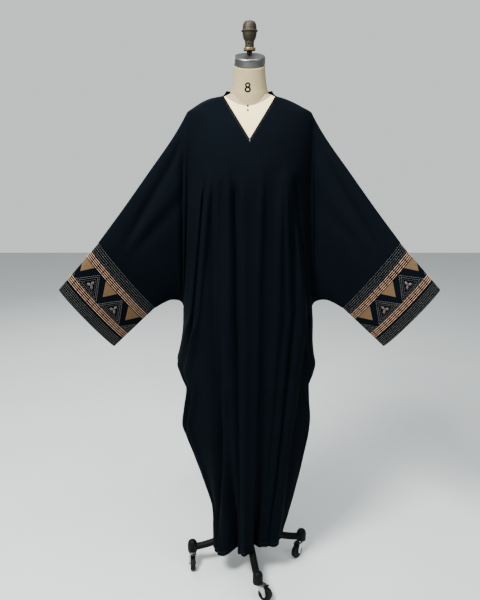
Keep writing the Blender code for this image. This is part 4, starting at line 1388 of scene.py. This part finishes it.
class ABAYA_OT_cuff_stitching(bpy.types.Operator):
    """Fine stitch rows, gold bars, nested outlines and petals on the cuffs"""
    bl_idname = "abaya.cuff_stitching"
    bl_label = "Cuff stitching"

    def execute(self, context):
        cloth = context.scene.abaya_cloth
        cuff = context.scene.abaya_cuff
        drape = Drape(cloth)
        fine = thread("grey stitching thread", tuple(cuff.pale), 0.6)
        bars = thread("rose gold thread", tuple(cuff.rose), 0.42, 0.35)
        petals = thread("petal thread", tuple(cuff.petal), 0.45)
        middles = [cuff.first + (k - 0.5) * cuff.repeat for k in range(REPEATS)]
        for name, side in (("left", -1), ("right", 1)):
            def at(flat, down, lift=THREAD_LIFT):
                return drape.cuff(side, flat / CUFF_GIRTH, down / CUFF_DEPTH, cloth.wall + lift)

            rows = self.rings(at)
            rows += [self.outline(at, middle, row) for middle in middles for row in OUTLINE_ROWS[:-1]]
            inner = [self.outline(at, middle, OUTLINE_ROWS[-1]) for middle in middles]
            radius = cuff.stitch_radius
            stitched("cuff_inner_outlines_" + name, inner, *INNER_STITCH, radius, petals, "embroidered_crepe")
            stitched("cuff_fine_stitches_" + name, rows, cuff.stitch_pitch, cuff.stitch_length, radius, fine,
                     "embroidered_crepe")
            laid("cuff_gold_bars_" + name, self.bars(at, cuff), cuff.bar_radius, bars, "embroidered_crepe")
            points = []
            faces = []
            for middle in middles:
                for turn in PETAL_TURNS:
                    self.petal(points, faces, at, middle, cuff, math.radians(turn))
            piece = mesh_piece("cuff_petals_" + name, points, faces, petals)
            tidy_mesh(piece, 0.00001)
        return {"FINISHED"}

    def rings(self, at, steps=240):
        """The fine rows that run all round."""
        return [[at(CUFF_GIRTH * k / steps, down) for k in range(steps + 1)] for down in FINE_ROWS]

    def outline(self, at, middle, row, steps=12):
        """One closed triangle of the nested outlines."""
        half, base, tip = row
        corners = ((middle - half, base), (middle, tip), (middle + half, base), (middle - half, base))
        line = []
        for (u0, v0), (u1, v1) in zip(corners, corners[1:]):
            line.extend(at(between(u0, u1, t / steps), between(v0, v1, t / steps)) for t in range(steps))
        return line + line[:1]

    def bars(self, at, cuff, steps=8):
        """The gold bars of every row, each a short line along the row."""
        count = round(CUFF_GIRTH / cuff.bar_pitch)
        starts = [CUFF_GIRTH * k / count for k in range(count)]
        return [[at(start + cuff.bar_length * t / steps, down, 0.0) for t in range(steps + 1)]
                for down in GOLD_ROWS for start in starts]

    def petal(self, points, faces, at, middle, cuff, a):
        """A small raised lozenge pointing away from the middle of the triangle."""
        base = len(points)
        count = 12
        for size, lift in PETAL_RINGS:
            for step in range(count):
                b = 2 * math.pi * step / count
                long = cuff.petal_long * (1.12 + size * math.cos(b))
                wide = cuff.petal_wide * size * math.sin(b) * (1 - 0.35 * abs(math.cos(b)))
                u = middle + long * math.cos(a) - wide * math.sin(a)
                v = cuff.petal_line - long * math.sin(a) - wide * math.cos(a)
                points.append(at(u, v, lift))
        faces.extend(ring_faces(count, len(PETAL_RINGS), base))
        faces.append(tuple(base + (len(PETAL_RINGS) - 1) * count + k for k in range(count)))
        faces.append(tuple(base + k for k in reversed(range(count))))


class ABAYA_OT_seam_stitches(bpy.types.Operator):
    """Topstitching along the V neck and the hem, the brown cord on the V edge and the snap"""
    bl_idname = "abaya.seam_stitches"
    bl_label = "Seam stitching"

    def execute(self, context):
        cloth = context.scene.abaya_cloth
        drape = Drape(cloth)
        black = thread("black sewing thread", (0.020, 0.021, 0.024), 0.6, 0.2)
        out = cloth.wall + 0.00005
        lines = []
        for side in (-1, 1):
            lines.append(self.v_edge(drape, side, out, drop=V_INSET))
            lines += [self.hem_line(drape, side, face, out) for face in (-1, 1)]
        stitched("edge_stitches", lines, *EDGE_STITCH, black, "black_crepe")
        brown = thread("brown edge thread", (0.062, 0.044, 0.031), 0.6, 0.25)
        cords = [self.v_edge(drape, side, cloth.wall, lift=0.0002) for side in (-1, 1)]
        laid("neck_edge_cord", cords, EDGE_CORD_RADIUS, brown, "black_crepe")
        z = cloth.v_tip - 0.004
        move = laid_down(0.0, -(drape.body(1, -1, 0.0, z) + cloth.wall - 0.0003), z)
        steel = metal("snap steel", (0.45, 0.45, 0.44), 0.35)
        turned("neck_snap", SNAP_PROFILE, steel, BODY, 24, move)
        return {"FINISHED"}

    def v_edge(self, drape, side, away, drop=0.0, lift=0.0, steps=60):
        """Points along one edge of the V neck, from its tip to just below the neck point."""
        c = drape.cloth
        line = []
        for step in range(steps - 1):
            t = step / steps
            x = c.neck_half * t
            z = between(c.v_tip, c.neck_height, t) - drop
            line.append(Vector((side * x, -(drape.body(side, -1, x, z) + away), z + lift)))
        return line

    def hem_line(self, drape, side, face, out, steps=120):
        """Points above a quarter of the hem, from the middle to the side seam."""
        line = []
        for step in range(steps + 1):
            degrees = 90.0 * step / steps if side > 0 else 180 - 90.0 * step / steps
            z = drape.cloth.hem + table(HEM_RISE_ROWS, degrees, 1 if face < 0 else 2) + HEM_INSET
            x, y, _ = drape.lower(side, face, degrees, z)
            line.append(Vector((x * (1 + out / HEM_HALF), y + face * out, z)))
        return line


class ABAYA_OT_dress_form(bpy.types.Operator):
    """Linen-covered torso and neck with its size numeral, steel cap and two tacks"""
    bl_idname = "abaya.dress_form"
    bl_label = "Dress form"

    sides = 96
    torso_rows = 90
    torso_crowding = 1.3
    neck_rows = 32

    def execute(self, context):
        form = context.scene.abaya_form
        self.torso(form)
        self.neck(form)
        self.cap(form)
        ink = enamel("tack enamel", (0.003, 0.003, 0.003))
        for number, z in enumerate(TACK_HEIGHTS, 1):
            move = laid_down(form.turn, -table(TORSO_ROWS, z, 2) - 0.0002, z, TACK_SLANT)
            turned("form_tack_%d" % number, TACK_PROFILE, ink, BODY, 20, move)
        return {"FINISHED"}

    def around(self):
        """Angles of the points of one ring."""
        return [2 * math.pi * step / self.sides for step in range(self.sides)]

    def torso(self, form):
        """Linen cover of the torso, closed below and under the neck."""
        low = TORSO_ROWS[0][0]
        high = TORSO_ROWS[-1][0]
        points = []
        for row in range(self.torso_rows + 1):
            z = low + (high - low) * (1 - (1 - row / self.torso_rows) ** self.torso_crowding)
            wide, front, back = (table(TORSO_ROWS, z, k) for k in (1, 2, 3))
            for a in self.around():
                points.append((wide * math.cos(a), (back if math.sin(a) > 0 else front) * math.sin(a), z))
        finish = linen("form linen", tuple(form.linen), form.turn, tuple(form.neck_linen))
        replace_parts(self.closed("form_cover", points, self.sides, finish), "form_torso")

    def neck(self, form):
        """Linen cover of the neck, cut off below the slanting cap."""
        cap_y, cap_z = CAP_MIDDLE
        seat = cap_z - (form.cap_height / 2 + 0.0004) / math.cos(form.cap_tilt)
        points = []
        for row in range(self.neck_rows + 1):
            share = row / self.neck_rows
            radius = table(NECK_ROWS, share, 1)
            for a in self.around():
                y = radius * math.sin(a) + cap_y * share
                top = seat + (y - cap_y) * math.tan(form.cap_tilt)
                points.append((radius * math.cos(a), y, NECK_BASE + (top - NECK_BASE) * share))
        finish = printed_neck("neck linen", tuple(form.neck_linen), form.turn, form.numeral_height)
        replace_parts(self.closed("form_neck_cover", points, self.sides, finish), "form_neck")

    def cap(self, form):
        """Steel plate on the neck."""
        outline = [(r * form.cap_radius, h * form.cap_height) for r, h in CAP_PROFILE]
        steel = metal("cap steel", tuple(form.steel), 0.40, 0.2, brushed=0.12)
        move = laid_down(0.0, *CAP_MIDDLE, form.cap_tilt)
        piece = turned("neck_cap_steel", rounded(outline, 0.0012), steel, BODY, 96, move)
        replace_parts(piece, "neck_cap")

    def closed(self, name, points, sides, finish):
        """A linen piece of rings of points, closed by a flat end below and above."""
        rows = len(points) // sides
        faces = ring_faces(sides, rows)
        faces.append(tuple(reversed(range(sides))))
        faces.append(tuple(range((rows - 1) * sides, rows * sides)))
        made = mesh_piece(name, points, faces, finish)
        made.data.polygons[-1].use_smooth = False
        made.data.polygons[-2].use_smooth = False
        return made


class ABAYA_OT_finial(bpy.types.Operator):
    """Black stem, brass ring and bronze knob, with a black disc of painted shade for its screw hole"""
    bl_idname = "abaya.finial"
    bl_label = "Finial"

    def execute(self, context):
        form = context.scene.abaya_form
        bronze = metal("finial bronze", tuple(form.bronze), 0.62, 0.16)
        piece = turned("finial_knob_bronze", rounded(KNOB_PROFILE, 0.0012), bronze, BODY, 72)
        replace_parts(piece, "finial_knob")
        # The screw hole is a flat black disc on the knob's surface: painted shade of the hole, not a recess
        dark = enamel("hole painted shade", (0.0012, 0.0011, 0.0010))
        turned("finial_screw_hole_painted_shade", HOLE_SHADE_PROFILE, dark, BODY, 24, laid_down(*HOLE_SHADE_PLACE))
        brass = metal("ring brass", tuple(form.brass), 0.48, 0.2)
        piece = turned("finial_ring_brass", rounded(RING_PROFILE, 0.0022, 5), brass, BODY, 72)
        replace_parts(piece, "finial_ring")
        black = enamel("stem enamel", (0.012, 0.012, 0.013))
        stem = rounded(rod("finial_stem", STEM_RADIUS), 0.0004)
        piece = turned("finial_stem_black", stem, black, BODY, 40)
        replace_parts(piece, "finial_stem")
        return {"FINISHED"}


class ABAYA_OT_stand(bpy.types.Operator):
    """Pole, four-leg base, caster forks and wheels"""
    bl_idname = "abaya.stand"
    bl_label = "Stand"

    def execute(self, context):
        stand = context.scene.abaya_stand
        black = enamel("black enamel", tuple(stand.enamel))
        bright = metal("bright plate", tuple(stand.plate), 0.26, 0.2)
        tread = rubber("caster rubber", tuple(stand.rubber))
        pole = rounded(rod("stand_pole", stand.pole_radius), 0.0004)
        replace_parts(turned("stand_pole_plated", pole, bright, BODY, 48), "stand_pole")
        hub = turned("base_hub_enamel", rounded(HUB_PROFILE, 0.002), black, BODY, 48)
        r = stand.post_radius
        dome = rounded([(0.0, 0.100), (0.0070, 0.0988), (0.0125, 0.0950), (0.0158, 0.0895), (r, 0.0840),
                        (r, 0.0575), (r - 0.0012, 0.0560), (0.0056, 0.0560), (0.0056, 0.0720), (0.0, 0.0720)],
                       0.0012)
        for number, _, _, angle, _ in CASTER_ROWS:
            move = Matrix.Translation((stand.reach * math.cos(angle), stand.reach * math.sin(angle), 0.0))
            turned("caster_post_enamel_%d" % number, dome, black, BODY, 40, move)
            self.leg("base_leg_enamel_%d" % number, angle, stand, black)
        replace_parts(hub, "base_frame")
        for number, fork_body, wheel_body, angle, heading in CASTER_ROWS:
            spot = Vector((stand.reach * math.cos(angle), stand.reach * math.sin(angle), 0.0))
            turn = Matrix.Translation(spot) @ Matrix.Rotation(heading, 4, "Z")
            self.wheel(number, wheel_body, turn, stand, tread, black)
            self.fork(number, fork_body, turn, stand, bright, black)
        return {"FINISHED"}

    def leg(self, name, angle, stand, finish):
        """A round bar bent along the leg's middle line."""
        path = bpy.data.curves.new(name, "CURVE")
        path.dimensions = "3D"
        path.bevel_depth = stand.leg_radius
        path.bevel_resolution = 6
        path.resolution_u = 8
        path.render_resolution_u = 8
        path.use_fill_caps = True
        line = path.splines.new("NURBS")
        line.points.add(len(LEG_ROWS) - 1)
        for point, (reach, z) in zip(line.points, LEG_ROWS):
            point.co = (reach * math.cos(angle), reach * math.sin(angle), z, 1.0)
        line.use_endpoint_u = True
        line.order_u = 3
        holder = placed(name, path)
        graph = bpy.context.evaluated_depsgraph_get()
        graph.update()
        data = bpy.data.meshes.new_from_object(holder.evaluated_get(graph))
        bpy.data.objects.remove(holder, do_unlink=True)
        made = placed(name, data)
        data.materials.clear()
        data.materials.append(finish.material)
        tidy_mesh(made)
        edges(made)
        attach(made, BODY)

    def wheel(self, number, body, turn, stand, tread, black):
        """Rubber tyre on a black hub, turned about its axle."""
        half = stand.wheel_width / 2
        r = stand.wheel_radius
        lay = turn @ laid_down(stand.trail, 0.0, r)
        tyre = rounded(mirrored([
            (0.0150, half - 0.0018), (0.0168, half - 0.0012), (0.0188, half), (r - 0.0012, half - 0.0006),
            (r, half - 0.0030)]), 0.0012)
        tyre.append(tyre[0])
        piece = turned("caster_tyre_%d" % number, tyre, tread, body, 56, lay)
        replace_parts(piece, "caster_wheel_%d" % number)
        hub = rounded(mirrored([
            (0.0036, half), (0.0074, half), (0.0084, half - 0.0026), (0.0130, half - 0.0036),
            (0.0152, half - 0.0022)]), 0.0006)
        hub.append(hub[0])
        turned("caster_hub_%d" % number, hub, black, body, 40, lay)

    def fork(self, number, body, turn, stand, bright, black):
        """Swivel plate, folded cheeks, axle with its nuts, and the brake lever."""
        top = FORK_TOP
        half = stand.wheel_width / 2
        trail = stand.trail
        plate = rounded([(0.0, top), (0.0158, top), (0.0158, top - 0.0024), (0.0115, top - 0.0034),
                         (0.0, top - 0.0034)], 0.0006)
        made = turned("fork_plate_%d" % number, plate, bright, body, 48, turn)
        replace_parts(made, "caster_fork_%d" % number)
        pin = [(0.0, 0.0676), (0.0050, 0.0676), (0.0050, top - 0.0002), (0.0, top - 0.0002)]
        turned("fork_pin_%d" % number, rounded(pin, 0.0004), bright, body, 24, turn)
        cheek = ((-0.0045, top - 0.0008), (0.0255, top - 0.0008), (0.0300, top - 0.0070),
                 (trail + 0.0064, 0.0270), (trail + 0.0052, 0.0212), (trail, 0.0188),
                 (trail - 0.0052, 0.0212), (trail - 0.0066, 0.0275), (0.0060, 0.0460))
        for side, label in ((-1, "a"), (1, "b")):
            name = "fork_cheek_%d_%s" % (number, label)
            shape = prism(cheek, side * (half + CHEEK_INNER), side * (half + CHEEK_OUTER))
            self.solid(name, shape, turn, bright, "bright_plate", body, 0.0006)
        w = half + CHEEK_OUTER
        slab = ((-0.0060, -w), (0.0245, -w), (0.0265, -w + 0.004), (0.0265, w - 0.004), (0.0245, w),
                (-0.0060, w))
        shape = prism(slab, top - 0.0030, top - 0.0008, upright=False)
        self.solid("fork_bridge_%d" % number, shape, turn, bright, "bright_plate", body, 0.0006)
        self.axle(number, body, turn, stand, bright)
        shape = prism(LEVER_OUTLINE, -LEVER_HALF, LEVER_HALF)
        self.solid("fork_brake_%d" % number, shape, turn, black, "black_enamel", body, 0.0005)

    def axle(self, number, body, turn, stand, bright):
        """Axle with a nut at each end."""
        end = stand.wheel_width / 2 + 0.0058
        nut = [(0.0, end), (0.0026, end), (0.0048, end - 0.0004), (0.0048, end - 0.0018),
               (0.0030, end - 0.0018)]
        profile = rounded(mirrored(nut), 0.0003)
        lay = turn @ laid_down(stand.trail, 0.0, stand.wheel_radius)
        turned("fork_axle_%d" % number, profile, bright, body, 24, lay)

    def solid(self, name, shape, turn, finish, slot, body, bevel):
        """A bevelled plate from the points and faces of a prism."""
        points, faces = shape
        made = mesh_piece(name, [turn @ Vector(p) for p in points], faces, finish, body)
        tidy_mesh(made)
        soft = made.modifiers.new("edges", "BEVEL")
        soft.width = bevel
        soft.segments = 2
        soft.limit_method = "ANGLE"
        settle(made)
        edges(made)


class ABAYA_OT_stage(bpy.types.Operator):
    """Pale floor, soft studio lights and the camera"""
    bl_idname = "abaya.stage"
    bl_label = "Stage"

    def execute(self, context):
        self.floor()
        self.sky(context.scene)
        for row in LIGHTS:
            self.light(*row)
        self.camera(context.scene)
        return {"FINISHED"}

    def floor(self):
        """A pale square floor."""
        r = FLOOR_HALF
        corners = [(-r, -r, 0.0), (r, -r, 0.0), (r, r, 0.0), (-r, r, 0.0)]
        made = drawn("stage_floor", corners, [], [(0, 1, 2, 3)])
        pale = Finish("pale floor")
        shade = pale.blend(pale.noise(3.0), (0.60, 0.635, 0.64), (0.66, 0.69, 0.695))
        pale.set(Base_Color=shade, Roughness=0.6)
        made.data.materials.append(pale.material)

    def sky(self, scene):
        """Pale surroundings that the camera sees brighter than the cloth does."""
        world = bpy.data.worlds.new("studio")
        world.use_nodes = True
        shade = world.node_tree.nodes["Background"]
        shade.inputs[0].default_value = (0.80, 0.835, 0.84, 1.0)
        seen = world.node_tree.nodes.new("ShaderNodeLightPath")
        strength = Wire(world.node_tree, seen.outputs["Is Camera Ray"]) * 0.45 + 0.58
        feed(world.node_tree, shade.inputs[1], strength)
        scene.world = world

    def light(self, name, place, size, power, tint):
        """A round soft light aimed at the middle of the garment."""
        light = bpy.data.lights.new(name, "AREA")
        light.shape = "DISK"
        light.size = size
        light.energy = power
        light.color = tint
        lamp = placed(name, light)
        lamp.location = place
        lamp.rotation_euler = (LIGHT_AIM - Vector(place)).to_track_quat("-Z", "Y").to_euler()

    def camera(self, scene):
        """The camera, looking slightly down at the stand."""
        view = bpy.data.cameras.new("camera")
        view.sensor_width = SENSOR
        view.lens = SENSOR * FOCAL_PIXELS / PICTURE_PIXELS
        camera = placed("camera", view)
        camera.location = CAMERA_PLACE
        camera.rotation_euler = (CAMERA_PITCH, 0.0, 0.0)
        scene.camera = camera


class ABAYA_PT_panel(bpy.types.Panel):
    """Lists the pieces and their sizes"""
    bl_label = "Abaya"
    bl_space_type = "VIEW_3D"
    bl_region_type = "UI"
    bl_category = "Abaya"

    def draw(self, context):
        for operator in OPERATORS:
            self.layout.operator(operator.bl_idname)
        for group in ("abaya_cloth", "abaya_cuff", "abaya_form", "abaya_stand"):
            box = self.layout.box()
            values = getattr(context.scene, group)
            for name in values.__annotations__:
                box.prop(values, name)


GROUPS = (
    ("abaya_cloth", AbayaCloth),
    ("abaya_cuff", AbayaCuff),
    ("abaya_form", AbayaForm),
    ("abaya_stand", AbayaStand),
)
OPERATORS = (
    ABAYA_OT_dress_form,
    ABAYA_OT_finial,
    ABAYA_OT_panels,
    ABAYA_OT_cuffs,
    ABAYA_OT_cuff_stitching,
    ABAYA_OT_seam_stitches,
    ABAYA_OT_stand,
    ABAYA_OT_stage,
)


def register():
    for name, group in GROUPS:
        bpy.utils.register_class(group)
        setattr(bpy.types.Scene, name, bpy.props.PointerProperty(type=group))
    for operator in OPERATORS:
        bpy.utils.register_class(operator)
    bpy.utils.register_class(ABAYA_PT_panel)


def unregister():
    bpy.utils.unregister_class(ABAYA_PT_panel)
    for operator in reversed(OPERATORS):
        bpy.utils.unregister_class(operator)
    for name, group in reversed(GROUPS):
        delattr(bpy.types.Scene, name)
        bpy.utils.unregister_class(group)


def main():
    register()
    bpy.ops.abaya.dress_form()
    bpy.ops.abaya.finial()
    bpy.ops.abaya.panels()
    bpy.ops.abaya.cuffs()
    bpy.ops.abaya.cuff_stitching()
    bpy.ops.abaya.seam_stitches()
    bpy.ops.abaya.stand()
    bpy.ops.abaya.stage()


if __name__ == "__main__":
    main()
